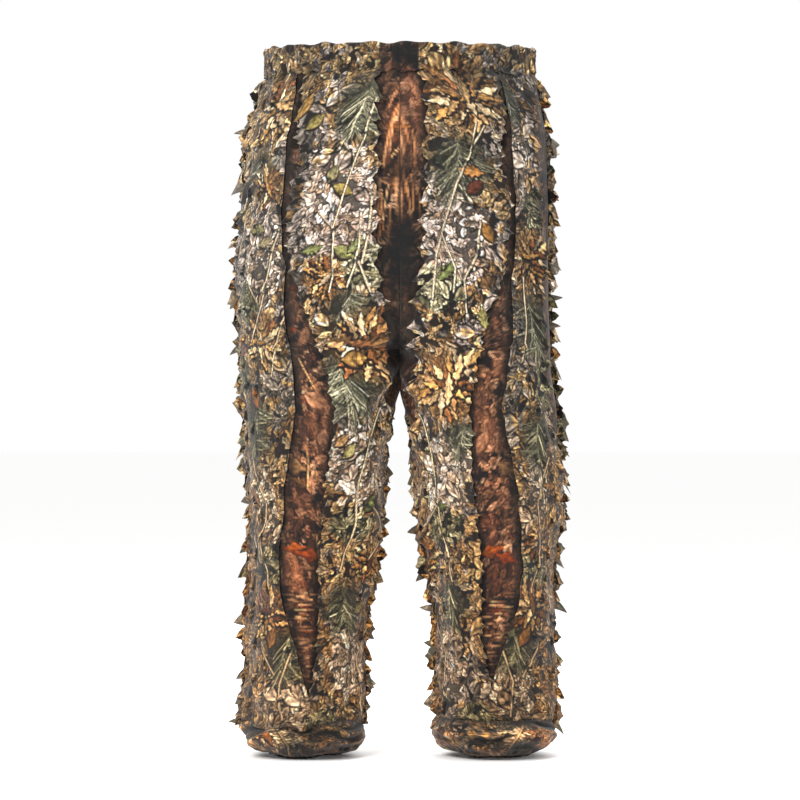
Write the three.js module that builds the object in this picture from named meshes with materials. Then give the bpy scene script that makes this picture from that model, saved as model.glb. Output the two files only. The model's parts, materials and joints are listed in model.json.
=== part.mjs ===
// Leaf-camouflage trousers, the lower half of a ghillie suit, hanging open as if worn.
// Millimetres. The front faces -Y, the wearer's left is +X, and the origin is the middle
// of the waist opening at the top of the waistband, so the trousers hang down along -Z.
import * as THREE from "three";

// ---- Lengths down the garment ----
const waistbandHeight = 36;
const hipDrop = 215; // waist to the widest level of the seat
const rise = 430; // waist to crotch
const thighLength = 285; // crotch to knee
const shinLength = 310; // knee to hem
const cuffHeight = 60; // the gathered end of each leg

// ---- Half widths and half depths of the cloth, outside, at each level ----
const waistHalfWidth = 190;
const waistHalfDepth = 118;
const hipHalfWidth = 217;
const hipHalfDepth = 144;
const crotchHalfWidth = 110; // of one leg
const crotchHalfDepth = 124;
const kneeHalfWidth = 91;
const kneeHalfDepth = 103;
const calfHalfWidth = 78;
const calfHalfDepth = 90;
const hemHalfWidth = 52; // the elasticated leg opening
const hemHalfDepth = 58;

const waistFullness = 5; // how far the cloth puffs out below the waistband
const seatFullness = 5; // in depth, between the hips and the crotch
const thighTaper = 2; // halfway down the thigh, inside a straight line
const kneeTaper = 3; // the knee's slope carried on to the bottom of its fold
const hemFullness = 11; // and above the gathered hem

// ---- Space between the legs ----
const kneeSpace = 70;
const calfSpace = 116;
const legSplit = 0.38; // how far the legs have moved apart, halfway from hips to crotch

// ---- Cloth, elastic and leaf layers ----
const clothThickness = 1.6;
const elasticThickness = 1.4;
const waistElasticHeight = 28;
const cuffElasticHeight = 14;
const stripThickness = 4; // a sewn-on strip with its lifted leaf edges
const stripLift = 1.5; // strip to cloth: clears the facets of both
const seamGap = 0.6; // between two pieces sewn edge to edge or layer on layer
const endGap = 0.4; // between pieces that follow one another down a leg

// ---- Folds: the stretches of cloth that bend when a leg is lifted or a knee bends ----
const hipFoldHalf = 85;
const kneeFoldHalf = 80;

// ---- Leaf fringe in the side seam and the lower inseam ----
const leafPitch = 26;
const leafWidth = 19;
const sideLeafReach = 24;
const inseamLeafReach = 17;
const fringeThickness = 2;
const fringeRoot = 5; // width of the band that joins the leaves

// ---- Pocket bags, inside the front of the seat ----
const pocketTop = -55;
const pocketDepth = 190;
const pocketStart = 0.3; // shares of the way from the side seam to the front middle
const pocketEnd = 0.62;
const pocketClearance = 3; // the bag hangs this far inside the front panel

// ---- The strips' edges, as shares of the way from the side seam to the middle seam ----
const outerStripStart = 0.05;
const outerStripAtSeat = 0.48;
const outerStripAtKnee = 0.38;
const innerStripStart = 0.55;
const innerStripEnd = 0.9;

// ---- Levels ----
const crotchLevel = -rise;
const kneeLevel = crotchLevel - thighLength;
const hemLevel = kneeLevel - shinLength;
const cuffLevel = hemLevel + cuffHeight;
const seatTop = -waistbandHeight - endGap;
const hipFoldTop = crotchLevel + hipFoldHalf;
const hipFoldBottom = crotchLevel - hipFoldHalf;
const kneeFoldTop = kneeLevel + kneeFoldHalf;
const kneeFoldBottom = kneeLevel - kneeFoldHalf;

// Each station is a level with the middle, half width and half depth of one leg's ellipse.
// Above the crotch the two ellipses meet in the middle plane and are cut off there.
const half = (a, b) => (a + b) / 2;
const kneeMiddle = kneeSpace / 2 + kneeHalfWidth;
const calfMiddle = calfSpace / 2 + calfHalfWidth;
const crotchMiddle = crotchHalfWidth + seamGap;
const stations = [
  [hemLevel, calfMiddle, hemHalfWidth, hemHalfDepth],
  [
    half(hemLevel, cuffLevel),
    calfMiddle,
    half(hemHalfWidth, calfHalfWidth) + hemFullness,
    half(hemHalfDepth, calfHalfDepth) + hemFullness,
  ],
  [cuffLevel, calfMiddle, calfHalfWidth, calfHalfDepth],
  [kneeFoldBottom, calfMiddle - kneeTaper, calfHalfWidth + kneeTaper, calfHalfDepth + kneeTaper],
  [kneeLevel, kneeMiddle, kneeHalfWidth, kneeHalfDepth],
  [
    half(crotchLevel, kneeLevel),
    half(crotchMiddle, kneeMiddle) + thighTaper,
    half(crotchHalfWidth, kneeHalfWidth) - thighTaper,
    half(crotchHalfDepth, kneeHalfDepth),
  ],
  [crotchLevel, crotchMiddle, crotchHalfWidth, crotchHalfDepth],
  [
    half(crotchLevel, -hipDrop),
    legSplit * crotchHalfWidth,
    hipHalfWidth - legSplit * crotchHalfWidth + seatFullness,
    half(crotchHalfDepth, hipHalfDepth) + seatFullness,
  ],
  [-hipDrop, 0, hipHalfWidth, hipHalfDepth],
  [
    half(0, -hipDrop),
    0,
    half(waistHalfWidth, hipHalfWidth) + waistFullness,
    half(waistHalfDepth, hipHalfDepth) + waistFullness,
  ],
  [-waistbandHeight, 0, waistHalfWidth, waistHalfDepth],
];
const outline = new THREE.CubicInterpolant(
  stations.map((station) => station[0]),
  stations.flatMap((station) => station.slice(1)),
  3,
);

// The waistband is a straight tube, so every level in it has the section of its lower edge.
function sectionAt(level) {
  const [middle, halfWidth, halfDepth] = outline.evaluate(Math.min(level, -waistbandHeight));
  return { middle, halfWidth, halfDepth };
}

// The angle from the side seam to the middle seam or the inseam.
function seamAngle({ middle, halfWidth }) {
  const atMiddlePlane = (seamGap / 2 - middle) / halfWidth;
  return Math.acos(Math.max(-1, atMiddlePlane)) - seamGap / 2 / halfWidth;
}

// A point of the left half of the trousers. share runs from 0 at the side seam to -1 at the
// front middle or inseam and +1 at the back; offset is measured outwards from the cloth.
function pointAt(share, level, offset) {
  const section = sectionAt(level);
  const angle = share * seamAngle(section);
  return new THREE.Vector3(
    section.middle + (section.halfWidth + offset) * Math.cos(angle),
    (section.halfDepth + offset) * Math.sin(angle),
    level,
  );
}

// The outer strips narrow towards the knee and widen again below it.
function outerStripEnd(level) {
  const above = THREE.MathUtils.smoothstep(-level, -crotchLevel, -kneeLevel);
  const below = THREE.MathUtils.smoothstep(-level, -kneeLevel, -cuffLevel);
  return THREE.MathUtils.lerp(outerStripAtSeat, outerStripAtKnee, above - below);
}

function isUnderStrip(share, level) {
  const across = Math.abs(share);
  return (across >= outerStripStart && across <= outerStripEnd(level))
    || (across >= innerStripStart && across <= innerStripEnd);
}

function moveVertices(geometry, place) {
  const position = geometry.getAttribute("position");
  const vertex = new THREE.Vector3();
  for (let i = 0; i < position.count; i += 1) {
    vertex.fromBufferAttribute(position, i);
    const moved = place(vertex);
    position.setXYZ(i, moved.x, moved.y, moved.z);
  }
  geometry.computeVertexNormals();
  return geometry;
}

// A piece of cloth between two shares and two levels: a box laid on the leg. from, to and
// outer are either numbers or functions of the level, and outer of the share too.
function clothPatch({ from, to, top, bottom, inner, outer, columns, rows }) {
  const valueOf = (size, ...place) => (typeof size === "function" ? size(...place) : size);
  const box = new THREE.BoxGeometry(1, 1, 1, columns, rows, 1);
  return moveVertices(box, (v) => {
    const level = THREE.MathUtils.lerp(bottom, top, v.y + 0.5);
    const share = THREE.MathUtils.lerp(valueOf(from, level), valueOf(to, level), v.x + 0.5);
    return pointAt(share, level, v.z < 0 ? inner : valueOf(outer, share, level));
  });
}

// A closed band round the waist or round one leg, from a lathed rectangle.
function clothBand({ top, bottom, inner, outer, rows, segments }) {
  const hub = 1000;
  const profile = [];
  for (let i = 0; i <= rows; i += 1) {
    profile.push(new THREE.Vector2(hub + outer, THREE.MathUtils.lerp(bottom, top, i / rows)));
  }
  for (let i = rows; i >= 0; i -= 1) {
    profile.push(new THREE.Vector2(hub + inner, THREE.MathUtils.lerp(bottom, top, i / rows)));
  }
  profile.push(profile[0].clone());
  const lathe = new THREE.LatheGeometry(profile, segments);
  return moveVertices(lathe, (v) => {
    const angle = Math.atan2(v.x, v.z);
    const offset = Math.hypot(v.x, v.z) - hub;
    const { middle, halfWidth, halfDepth } = sectionAt(v.y);
    return new THREE.Vector3(
      middle + (halfWidth + offset) * Math.sin(angle),
      -(halfDepth + offset) * Math.cos(angle),
      v.y,
    );
  });
}

// A row of leaves standing out of a seam, cut from one flat band whose root follows the
// panels' rows. direction is +1 at the side seam and -1 at the inseam.
const leafOutline = [[0, 0], [0.25, 0.55], [0.62, 1], [0.8, 0.5], [1, 0]]; // shares: down, out
function leafFringe({ top, bottom, rows, direction, reach }) {
  const count = Math.floor((top - bottom) / leafPitch);
  const margin = (top - bottom - count * leafPitch + leafPitch - leafWidth) / 2;
  const edgeAt = (level, offset) => {
    const { middle, halfWidth } = sectionAt(level);
    const out = middle + direction * (halfWidth + stripLift + offset);
    return new THREE.Vector2(out, level);
  };
  const points = [edgeAt(top, 0)];
  for (let i = 0; i < count; i += 1) {
    for (const [down, out] of leafOutline) {
      const level = top - margin - i * leafPitch - down * leafWidth;
      points.push(edgeAt(level, fringeRoot + out * reach));
    }
  }
  for (let row = 0; row < rows; row += 1) {
    points.push(edgeAt(THREE.MathUtils.lerp(bottom, top, row / rows), 0));
  }
  const band = new THREE.ExtrudeGeometry(new THREE.Shape(points), {
    depth: fringeThickness,
    bevelEnabled: false,
  });
  band.translate(0, 0, -fringeThickness / 2);
  band.rotateX(Math.PI / 2);
  return band;
}

// ---- Colours ----
const finishes = {
  printedCloth: { color: 0x4f3a2a, roughness: 0.95, metalness: 0 },
  leafStrip: { color: 0x8a7d68, roughness: 0.95, metalness: 0 },
  leafFringe: { color: 0x6e6038, roughness: 0.95, metalness: 0 },
  lining: { color: 0x3a342b, roughness: 0.9, metalness: 0 },
  elastic: { color: 0x1b1b1a, roughness: 0.8, metalness: 0 },
};

const trousers = new THREE.Group();

function add(name, geometry, finish, side = 1) {
  const mesh = new THREE.Mesh(geometry, new THREE.MeshStandardMaterial(finishes[finish]));
  mesh.name = name;
  mesh.scale.x = side;
  trousers.add(mesh);
}

// ---- Waistband: an outer and an inner layer with the elastic between them ----
const elasticOutside = -clothThickness - seamGap;
const liningOutside = elasticOutside - elasticThickness - seamGap;
const waistbandSize = { top: 0, bottom: -waistbandHeight, rows: 1, segments: 40 };
const waistElasticMargin = half(waistbandHeight, -waistElasticHeight);
add("waistband_outer", clothBand({
  ...waistbandSize, inner: -clothThickness, outer: 0,
}), "printedCloth");
add("waistband_inner", clothBand({
  ...waistbandSize, inner: liningOutside - clothThickness, outer: liningOutside,
}), "lining");
add("waist_elastic", clothBand({
  ...waistbandSize,
  top: -waistElasticMargin,
  bottom: waistElasticMargin - waistbandHeight,
  inner: elasticOutside - elasticThickness,
  outer: elasticOutside,
}), "elastic");

const stretches = {
  seat: { top: seatTop, bottom: hipFoldTop + endGap, rows: 8, columns: 8, stripColumns: 4 },
  thigh: {
    top: hipFoldBottom - endGap, bottom: kneeFoldTop + endGap, rows: 3, columns: 14, stripColumns: 6,
  },
  calf: {
    top: kneeFoldBottom - endGap, bottom: cuffLevel + endGap, rows: 3, columns: 14, stripColumns: 6,
  },
};

for (const [sideName, side] of [["left", 1], ["right", -1]]) {
  // ---- Panels and leaf strips, which keep their shape between the folds ----
  for (const [stretchName, { top, bottom, rows, columns, stripColumns }] of Object.entries(stretches)) {
    for (const [faceName, face] of [["front", -1], ["back", 1]]) {
      const name = `${sideName}_${stretchName}_${faceName}`;
      const patch = (near, far, layer) => clothPatch({
        from: face > 0 ? near : far,
        to: face > 0 ? far : near,
        top, bottom, rows,
        ...layer,
      });
      const besideSeam = seamGap / 2 / hipHalfWidth;
      add(name, patch(face * besideSeam, face, {
        inner: -clothThickness, outer: 0, columns,
      }), "printedCloth", side);
      const stripLayer = { inner: stripLift, outer: stripLift + stripThickness, columns: stripColumns };
      add(`${name}_outer_leaf_strip`, patch(
        face * outerStripStart, (level) => face * outerStripEnd(level), stripLayer,
      ), "leafStrip", side);
      add(`${name}_inner_leaf_strip`, patch(
        face * innerStripStart, face * innerStripEnd, stripLayer,
      ), "leafStrip", side);
    }
    add(`${sideName}_${stretchName}_side_leaf_fringe`, leafFringe({
      top, bottom, rows, direction: 1, reach: sideLeafReach,
    }), "leafFringe", side);
  }
  add(`${sideName}_calf_inseam_leaf_fringe`, leafFringe({
    ...stretches.calf, direction: -1, reach: inseamLeafReach,
  }), "leafFringe", side);

  // ---- The stretches that fold: the cloth with its strips, one wrap round the leg each ----
  const foldLayers = {
    from: -1,
    to: 1,
    inner: -clothThickness,
    outer: (share, level) => (isUnderStrip(share, level) ? stripLift + stripThickness : 0),
  };
  add(`${sideName}_hip_fold`, clothPatch({
    ...foldLayers, top: hipFoldTop, bottom: hipFoldBottom, rows: 6, columns: 28,
  }), "printedCloth", side);
  add(`${sideName}_knee_fold`, clothPatch({
    ...foldLayers, top: kneeFoldTop, bottom: kneeFoldBottom, rows: 3, columns: 28,
  }), "printedCloth", side);

  // ---- Cuff: the gathered leg end and the elastic inside it ----
  const cuffSize = { bottom: hemLevel, segments: 28 };
  add(`${sideName}_cuff`, clothBand({
    ...cuffSize, top: cuffLevel, inner: -clothThickness, outer: 0, rows: 4,
  }), "printedCloth", side);
  add(`${sideName}_cuff_elastic`, clothBand({
    ...cuffSize,
    top: hemLevel + seamGap + cuffElasticHeight,
    bottom: hemLevel + seamGap,
    inner: elasticOutside - elasticThickness,
    outer: elasticOutside,
    rows: 1,
  }), "elastic", side);

  // ---- Pocket bag: two layers of cloth lying flat behind the front panel ----
  add(`${sideName}_pocket_bag`, clothPatch({
    from: -pocketEnd,
    to: -pocketStart,
    top: pocketTop,
    bottom: pocketTop - pocketDepth,
    inner: -pocketClearance - 3 * clothThickness,
    outer: -pocketClearance - clothThickness,
    columns: 4,
    rows: 4,
  }), "lining", side);
}

export default trousers;
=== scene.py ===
import json
import math

import bpy
import numpy as np
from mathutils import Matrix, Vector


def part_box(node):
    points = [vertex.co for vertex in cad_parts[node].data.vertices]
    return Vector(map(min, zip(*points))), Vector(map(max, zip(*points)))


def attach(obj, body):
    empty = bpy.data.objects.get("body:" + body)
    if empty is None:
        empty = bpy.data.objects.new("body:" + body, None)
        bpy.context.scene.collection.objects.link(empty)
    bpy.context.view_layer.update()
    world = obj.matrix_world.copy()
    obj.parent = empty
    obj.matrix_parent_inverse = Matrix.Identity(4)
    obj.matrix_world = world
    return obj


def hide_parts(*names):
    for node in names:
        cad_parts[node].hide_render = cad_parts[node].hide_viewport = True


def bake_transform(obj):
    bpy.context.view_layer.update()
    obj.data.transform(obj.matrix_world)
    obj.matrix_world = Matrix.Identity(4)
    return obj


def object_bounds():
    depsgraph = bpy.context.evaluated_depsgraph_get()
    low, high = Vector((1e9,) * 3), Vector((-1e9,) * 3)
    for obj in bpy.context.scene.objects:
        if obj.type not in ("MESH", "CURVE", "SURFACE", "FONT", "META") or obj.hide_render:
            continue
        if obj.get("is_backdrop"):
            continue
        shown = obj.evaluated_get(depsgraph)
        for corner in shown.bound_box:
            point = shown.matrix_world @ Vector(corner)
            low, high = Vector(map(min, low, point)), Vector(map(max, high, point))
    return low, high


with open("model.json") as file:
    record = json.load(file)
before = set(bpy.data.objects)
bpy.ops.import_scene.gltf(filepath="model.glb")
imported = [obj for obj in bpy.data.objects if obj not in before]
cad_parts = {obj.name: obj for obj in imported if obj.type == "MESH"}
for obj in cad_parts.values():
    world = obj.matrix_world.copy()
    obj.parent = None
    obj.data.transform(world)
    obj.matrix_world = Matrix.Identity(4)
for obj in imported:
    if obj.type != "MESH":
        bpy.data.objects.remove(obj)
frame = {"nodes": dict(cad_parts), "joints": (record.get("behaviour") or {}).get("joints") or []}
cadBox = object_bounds()
sides = {"left": 1, "right": -1}  # the wearer's left is +X, the front faces -Y
faces = {"front": -1, "back": 1}


# A new material with its main shader's constants set.
def newMaterial(name, constants):
    material = bpy.data.materials.new(name)
    material.use_nodes = True
    surface = material.node_tree.nodes["Principled BSDF"]
    for socket, value in constants.items():
        surface.inputs[socket].default_value = value
    return material, material.node_tree, surface


# A new node with its settings and inputs.
def addNode(tree, kind, inputs=None, **settings):
    made = tree.nodes.new(kind)
    for key, value in settings.items():
        setattr(made, key, value)
    fill(tree, made, inputs or {})
    return made


# Each input gets a fixed value, or a link from another node's output.
def fill(tree, node, inputs):
    for key, value in inputs.items():
        if isinstance(value, bpy.types.NodeSocket):
            tree.links.new(value, node.inputs[key])
        else:
            node.inputs[key].default_value = value


# Camera, light and floor
view = {
    "height": 1.15,  # metres seen from top to bottom at the waist's distance
    "middle": -0.503,
    "distance": 5.2,
    "sensor": 36,
}


def makeCamera():
    bpy.ops.object.camera_add(
        location=(0, -view["distance"], view["middle"]), rotation=(math.radians(90), 0, 0)
    )
    camera = bpy.context.object
    camera.name = "camera"
    camera.data.sensor_width = view["sensor"]
    camera.data.lens = view["sensor"] * view["distance"] / view["height"]
    bpy.context.scene.camera = camera


lamps = {
    "key": {"place": (-1.6, -2.6, 1.3), "size": 1.5, "power": 120},
    "fill": {"place": (2.2, -2.2, 0.2), "size": 2.4, "power": 14},
    "top": {"place": (0, 0.3, 2.2), "size": 2.4, "power": 40},
    "back": {"place": (0.6, 2.8, 0.6), "size": 2.2, "power": 55},
}


def makeLamps():
    target = (0, 0, view["middle"])
    for name, lamp in lamps.items():
        bpy.ops.object.light_add(type="AREA", location=lamp["place"])
        light = bpy.context.object
        light.name = name + "_lamp"
        light.data.size = lamp["size"]
        light.data.energy = lamp["power"]
        away = light.location - type(light.location)(target)
        light.rotation_euler = away.to_track_quat("Z", "Y").to_euler()
    world = bpy.data.worlds.new("studio")
    world.use_nodes = True
    world.node_tree.nodes["Background"].inputs["Color"].default_value = (1, 1, 1, 1)
    world.node_tree.nodes["Background"].inputs["Strength"].default_value = 1.0
    bpy.context.scene.world = world
    bpy.context.scene.view_settings.view_transform = "Standard"


def makeFloor():
    bpy.ops.object.select_all(action="DESELECT")
    bpy.ops.mesh.primitive_plane_add(size=60, location=(0, 0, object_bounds()[0][2] - 0.0005))
    floor = bpy.context.object
    floor.name = "floor"
    paint = {"Base Color": (0.97, 0.97, 0.965, 1), "Roughness": 0.9}
    floor.data.materials.append(newMaterial("pale_floor", paint)[0])
    floor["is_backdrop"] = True


makeCamera()
makeLamps()
print("camera and lamps made")


# The shape of the trousers, measured on the frame
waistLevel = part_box("waistband_outer")[1].z
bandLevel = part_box("waistband_outer")[0].z
bandMiddle = (bandLevel + waistLevel) / 2
crotchLevel = frame["joints"][0]["pos_m"][2]
kneeLevel = frame["joints"][1]["pos_m"][2]
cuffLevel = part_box("left_cuff")[1].z
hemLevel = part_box("left_cuff")[0].z
splitLevel = (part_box("left_thigh_front")[0].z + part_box("left_thigh_front")[1].z) / 2
lowest, highest = -1.07, 0.03  # levels between which shape and print are worked out


# The points of a CAD node, row by row from the bottom.
def rowsOf(node):
    mesh = frame["nodes"][node].data
    points = np.empty(len(mesh.vertices) * 3)
    mesh.vertices.foreach_get("co", points)
    points = points.reshape(-1, 3)
    points = points[np.argsort(points[:, 2])]
    breaks = np.where(np.diff(points[:, 2]) > 0.0005)[0] + 1
    return np.split(points, breaks)


def byLevel(table):
    return np.array(sorted(table.items())).T


def smooth(x, low, high):
    t = np.clip((x - low) / (high - low), 0, 1)
    return t * t * (3 - 2 * t)


# The loose cloth of the two legs lies together for a little way below the crotch.
lowCrotch = {
    "opens": (0.472, 0.575),  # metres below the waist between which the legs part to their full gap
    "parts": (0.470, 0.500),  # and between which the press ends
    "press": 0.003,
    "gap": 0.0003,
    "wave": 0.0006,
    "blend": 0.02,
}


def measureShape():
    outer, depth, inner = {}, {}, {}
    for node in ("seat_front", "thigh_front", "calf_front", "cuff"):
        for row in rowsOf("left_" + node):
            level = row[:, 2].mean()
            outer[level] = row[:, 0].max()
            depth[level] = abs(row[:, 1]).max()
    spread = {"outer": byLevel(outer), "depth": byLevel(depth)}
    for node in ("seat_front", "hip_fold", "thigh_front", "knee_fold", "calf_front", "cuff"):
        for row in rowsOf("left_" + node):
            level = row[:, 2].mean()
            innermost = row[:, 0].min()
            reach = np.interp(level, *spread["outer"])
            if innermost < 0.002:  # above the crotch the section is cut off in the middle plane
                seam = abs(row[row[:, 0] < innermost + 0.0004, 1]).max()
                cosine = math.sqrt(max(0, 1 - (seam / np.interp(level, *spread["depth"])) ** 2))
                innermost = reach - 2 * reach / (1 + cosine)
            inner[level] = innermost
    spread["inner"] = byLevel(inner)
    levels = np.arange(-1.06, highest, 0.002)
    kernel = np.hanning(13)  # softens the steps between the frame's rows
    shape = {"level": levels}
    for name, table in spread.items():
        values = np.interp(np.pad(levels, len(kernel) // 2, mode="edge"), *table)
        shape[name] = np.convolve(values, kernel / kernel.sum(), "valid")
    pressed = smooth(crotchLevel - levels, 0, lowCrotch["blend"])
    pressed = pressed * (1 - smooth(-levels, *lowCrotch["parts"]))
    closed = shape["inner"] * smooth(-levels, *lowCrotch["opens"]) - lowCrotch["press"] * pressed
    closed = np.minimum(shape["inner"], closed)
    shape["inner"] = np.where(levels < crotchLevel, closed, shape["inner"])
    return shape


shape = measureShape()


# One leg's section at a level is an ellipse: its middle, half width and depth, and the turn at which
# it meets the middle seam or the inseam.
def sectionAt(level):
    measured = (shape[k] for k in ("outer", "inner", "depth"))
    reach, inner, depth = (np.interp(level, shape["level"], values) for values in measured)
    middle, halfWidth = (reach + inner) / 2, (reach - inner) / 2
    seam = np.arccos(np.clip(-middle / halfWidth, -1, 1))
    return middle, halfWidth, depth, np.where(level < crotchLevel, math.pi, seam)


# How far along the cloth a share lies from the side seam, by level.
arcLevels = np.linspace(hemLevel - 0.02, waistLevel + 0.01, 140)
arcShares = np.linspace(0, 1, 61)


def measureArcs():
    middle, halfWidth, depth, seam = (v[:, None] for v in sectionAt(arcLevels))
    turn = arcShares[None, :] * seam
    speed = np.hypot(halfWidth * np.sin(turn), depth * np.cos(turn)) * seam
    steps = (speed[:, 1:] + speed[:, :-1]) / 2 * (arcShares[1] - arcShares[0])
    return np.hstack([np.zeros((len(arcLevels), 1)), np.cumsum(steps, axis=1)])


arcs = measureArcs()


def wholeArc(level):
    return np.interp(level, arcLevels, arcs[:, -1])


def alongCloth(share, level):
    row = np.clip((level - arcLevels[0]) / (arcLevels[1] - arcLevels[0]), 0, len(arcLevels) - 1.001)
    column = np.clip(abs(share) * (len(arcShares) - 1), 0, len(arcShares) - 1.001)
    r, c = row.astype(int), column.astype(int)
    dr, dc = row - r, column - c
    near = arcs[r, c] * (1 - dc) + arcs[r, c + 1] * dc
    far = arcs[r + 1, c] * (1 - dc) + arcs[r + 1, c + 1] * dc
    return np.sign(share) * (near * (1 - dr) + far * dr)


# Smooth random hills between -1 and 1, about one to a unit of x and y.
def softNoise(x, y, seed):
    size = 97
    lattice = np.random.default_rng(seed).uniform(-1, 1, (size, size))
    x, y = np.broadcast_arrays(x, y)
    i, j = np.floor(x).astype(int), np.floor(y).astype(int)
    fx, fy = x - i, y - j
    fx, fy = fx * fx * (3 - 2 * fx), fy * fy * (3 - 2 * fy)
    corner = lambda di, dj: lattice[(i + di) % size, (j + dj) % size]
    near = corner(0, 0) * (1 - fx) + corner(1, 0) * fx
    far = corner(0, 1) * (1 - fx) + corner(1, 1) * fx
    return near * (1 - fy) + far * fy


folds = {  # heights, spacings and lengths of the folds in metres
    "gather": 0.0072, "gatherPitch": 0.0170, "gatherReach": 0.055,
    "long": 0.0095, "longPitch": 0.062, "longLength": 0.33,
    "wrinkle": 0.0042, "wrinklePitch": 0.035, "wrinkleLength": 0.075,
    "crotch": 0.0070, "knee": 0.0058, "hem": 0.0056,
    "slit": 0.009, "slitWidth": 0.0042, "slitTop": -0.046, "slitBottom": -0.150,
}


foldSeeds = {"left": 40, "right": 60}


# The gathers lean to and fro as they run down from the waist.
def gatherNoise(side, along, level):
    lean = 0.35 * level * np.sin(along * 21 + sides[side])
    return softNoise((along + 3 + lean) / folds["gatherPitch"], level / 0.2 + 9, foldSeeds[side])


def foldOffset(side, share, level):
    along = alongCloth(share, level)
    seed = foldSeeds[side]
    u = along + 3
    below = bandLevel - level
    gather = folds["gather"] * np.exp(-np.maximum(below, 0) / folds["gatherReach"])
    gather = gather * gatherNoise(side, along, level)
    lean = u + 0.03 * np.sin(level * 9 + seed)
    long = softNoise(lean / folds["longPitch"], level / folds["longLength"] + 9, seed + 1)
    long = folds["long"] * long * smooth(below, -0.01, 0.12)
    across, down = u / folds["wrinklePitch"] + level * 6, level / folds["wrinkleLength"] + 20
    wrinkle = softNoise(across, down, seed + 2)
    wrinkle = folds["wrinkle"] * wrinkle * smooth(below, 0.02, 0.1)
    drop, whole = crotchLevel - level, wholeArc(level)
    away = np.hypot(abs(along) - whole, drop)
    bearing = np.arctan2(drop, 0.002 + whole - abs(along))
    crotch = folds["crotch"] * np.exp(-(((away - 0.09) / 0.075) ** 2)) * np.sin(bearing * 9 + seed)
    knee = np.exp(-(((level - kneeLevel + 0.01) / 0.085) ** 2))
    knee = folds["knee"] * knee * softNoise(u / 0.085 + level * 3, level / 0.024 + 50, seed + 3)
    hem = smooth(-level, -cuffLevel - 0.12, -cuffLevel)
    hem = folds["hem"] * hem * softNoise(u / 0.07 + level * 5, level / 0.017 + 80, seed + 4)
    window = 1 - np.clip(abs(share), 0, 1) ** 10
    sideSeam = -0.0014 * np.exp(-((along / 0.004) ** 2))
    return (gather + long + wrinkle + crotch + knee + hem) * window + sideSeam


# A point on one half of the trousers. share is 0 at the side seam, -1 at the front middle or
# inseam and 1 at the back; offset is outwards from the folded cloth.
def onCloth(side, share, level, offset=0.0, seamGap=0.0003):
    middle, halfWidth, depth, seam = sectionAt(level)
    gap = seamGap / halfWidth
    turn = share * (seam - gap)
    out = foldOffset(side, share, level) + offset
    x = middle + (halfWidth + out) * np.cos(turn)
    y = (depth + out) * np.sin(turn)
    wave = sides[side] * lowCrotch["wave"] * np.sin(y / 0.005)  # no light passes between the legs
    below = smooth(crotchLevel - level, 0, lowCrotch["blend"])
    least = seamGap / 2 + (lowCrotch["gap"] + wave) * below
    return np.stack([sides[side] * np.maximum(x, least), y, level + 0 * x], axis=-1)


print("shape measured: crotch %.3f, knee %.3f, hem %.3f" % (crotchLevel, kneeLevel, hemLevel))

# The printed pattern, painted on two flat cloths a side
cell = 0.0010
canvasU = np.arange(-0.40, 0.40, cell)
canvasZ = np.arange(lowest, highest, cell)
canvasSize = (len(canvasZ), len(canvasU))


def tint(code):
    return np.array([int(code[i:i + 2], 16) / 255 for i in (0, 2, 4)])


palettes = {
    "pale": ["c6b8a5", "ae9f8d", "968672", "d3c7b4", "83735f", "b9aa96"],
    "tan": ["a58b66", "8a714f", "b79c70", "6f5a3e", "a9987c", "94805c"],
    "olive": ["8f8c70", "737056", "a5a180", "5c5b45", "7f7c63", "a9a687"],
    "bark": ["523a2d", "67503e", "7b624e", "382a23", "8d7561", "5c4839"],
    "grey": ["8d857a", "706960", "a39a8d", "5a544b", "978d80", "7d756a"],
}
palettes = {name: np.array([tint(c) for c in codes]) for name, codes in palettes.items()}
needleTints = [tint(c) for c in ("6d6f5a", "8a8b74", "4d4f40", "a5a48a", "37382e", "5e614f")]
oakTints = [tint(c) for c in ("b59568", "9f7d4c", "c6aa7b", "896a45", "cbb690", "805a38")]
trunkTints = ["a87d55", "8f6a48", "bb9670", "5f4230"]
wrinkleTints = ["86705a", "75604c", "957c60"]
darkLine = tint("2c231c")


# The part of a canvas that lies within reach of a place.
def patchOf(u, z, reach):
    c0, c1 = np.searchsorted(canvasU, (u - reach, u + reach))
    r0, r1 = np.searchsorted(canvasZ, (z - reach, z + reach))
    rows, columns = slice(r0, r1), slice(c0, c1)
    return rows, columns, canvasU[None, columns] - u, canvasZ[rows, None] - z


# s runs along a leaf, t across it, and q is 1 on its outline.
def leafForm(du, dz, length, width, turn, lobes):
    cosine, sine = math.cos(turn), math.sin(turn)
    s = (du * cosine + dz * sine) / (length / 2)
    t = (dz * cosine - du * sine) / (width / 2)
    outline = np.clip(1 - s * s, 0, 1) ** 1.05
    if lobes:
        notch = 0.28 if lobes < 4 else 0.2
        outline = outline * (1 - notch + notch * np.cos(lobes * math.pi * s + 0.6))
    q = abs(t) / np.maximum(outline, 1e-3)
    return s, t, q


def layOn(canvas, rows, columns, color, mask):
    canvas[rows, columns] = canvas[rows, columns] * (1 - mask) + color * mask


def softSpot(du, dz, halfWidth, halfHeight, power):
    return np.exp(-(((du / halfWidth) ** 2 + (dz / halfHeight) ** 2) ** power))


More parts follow.
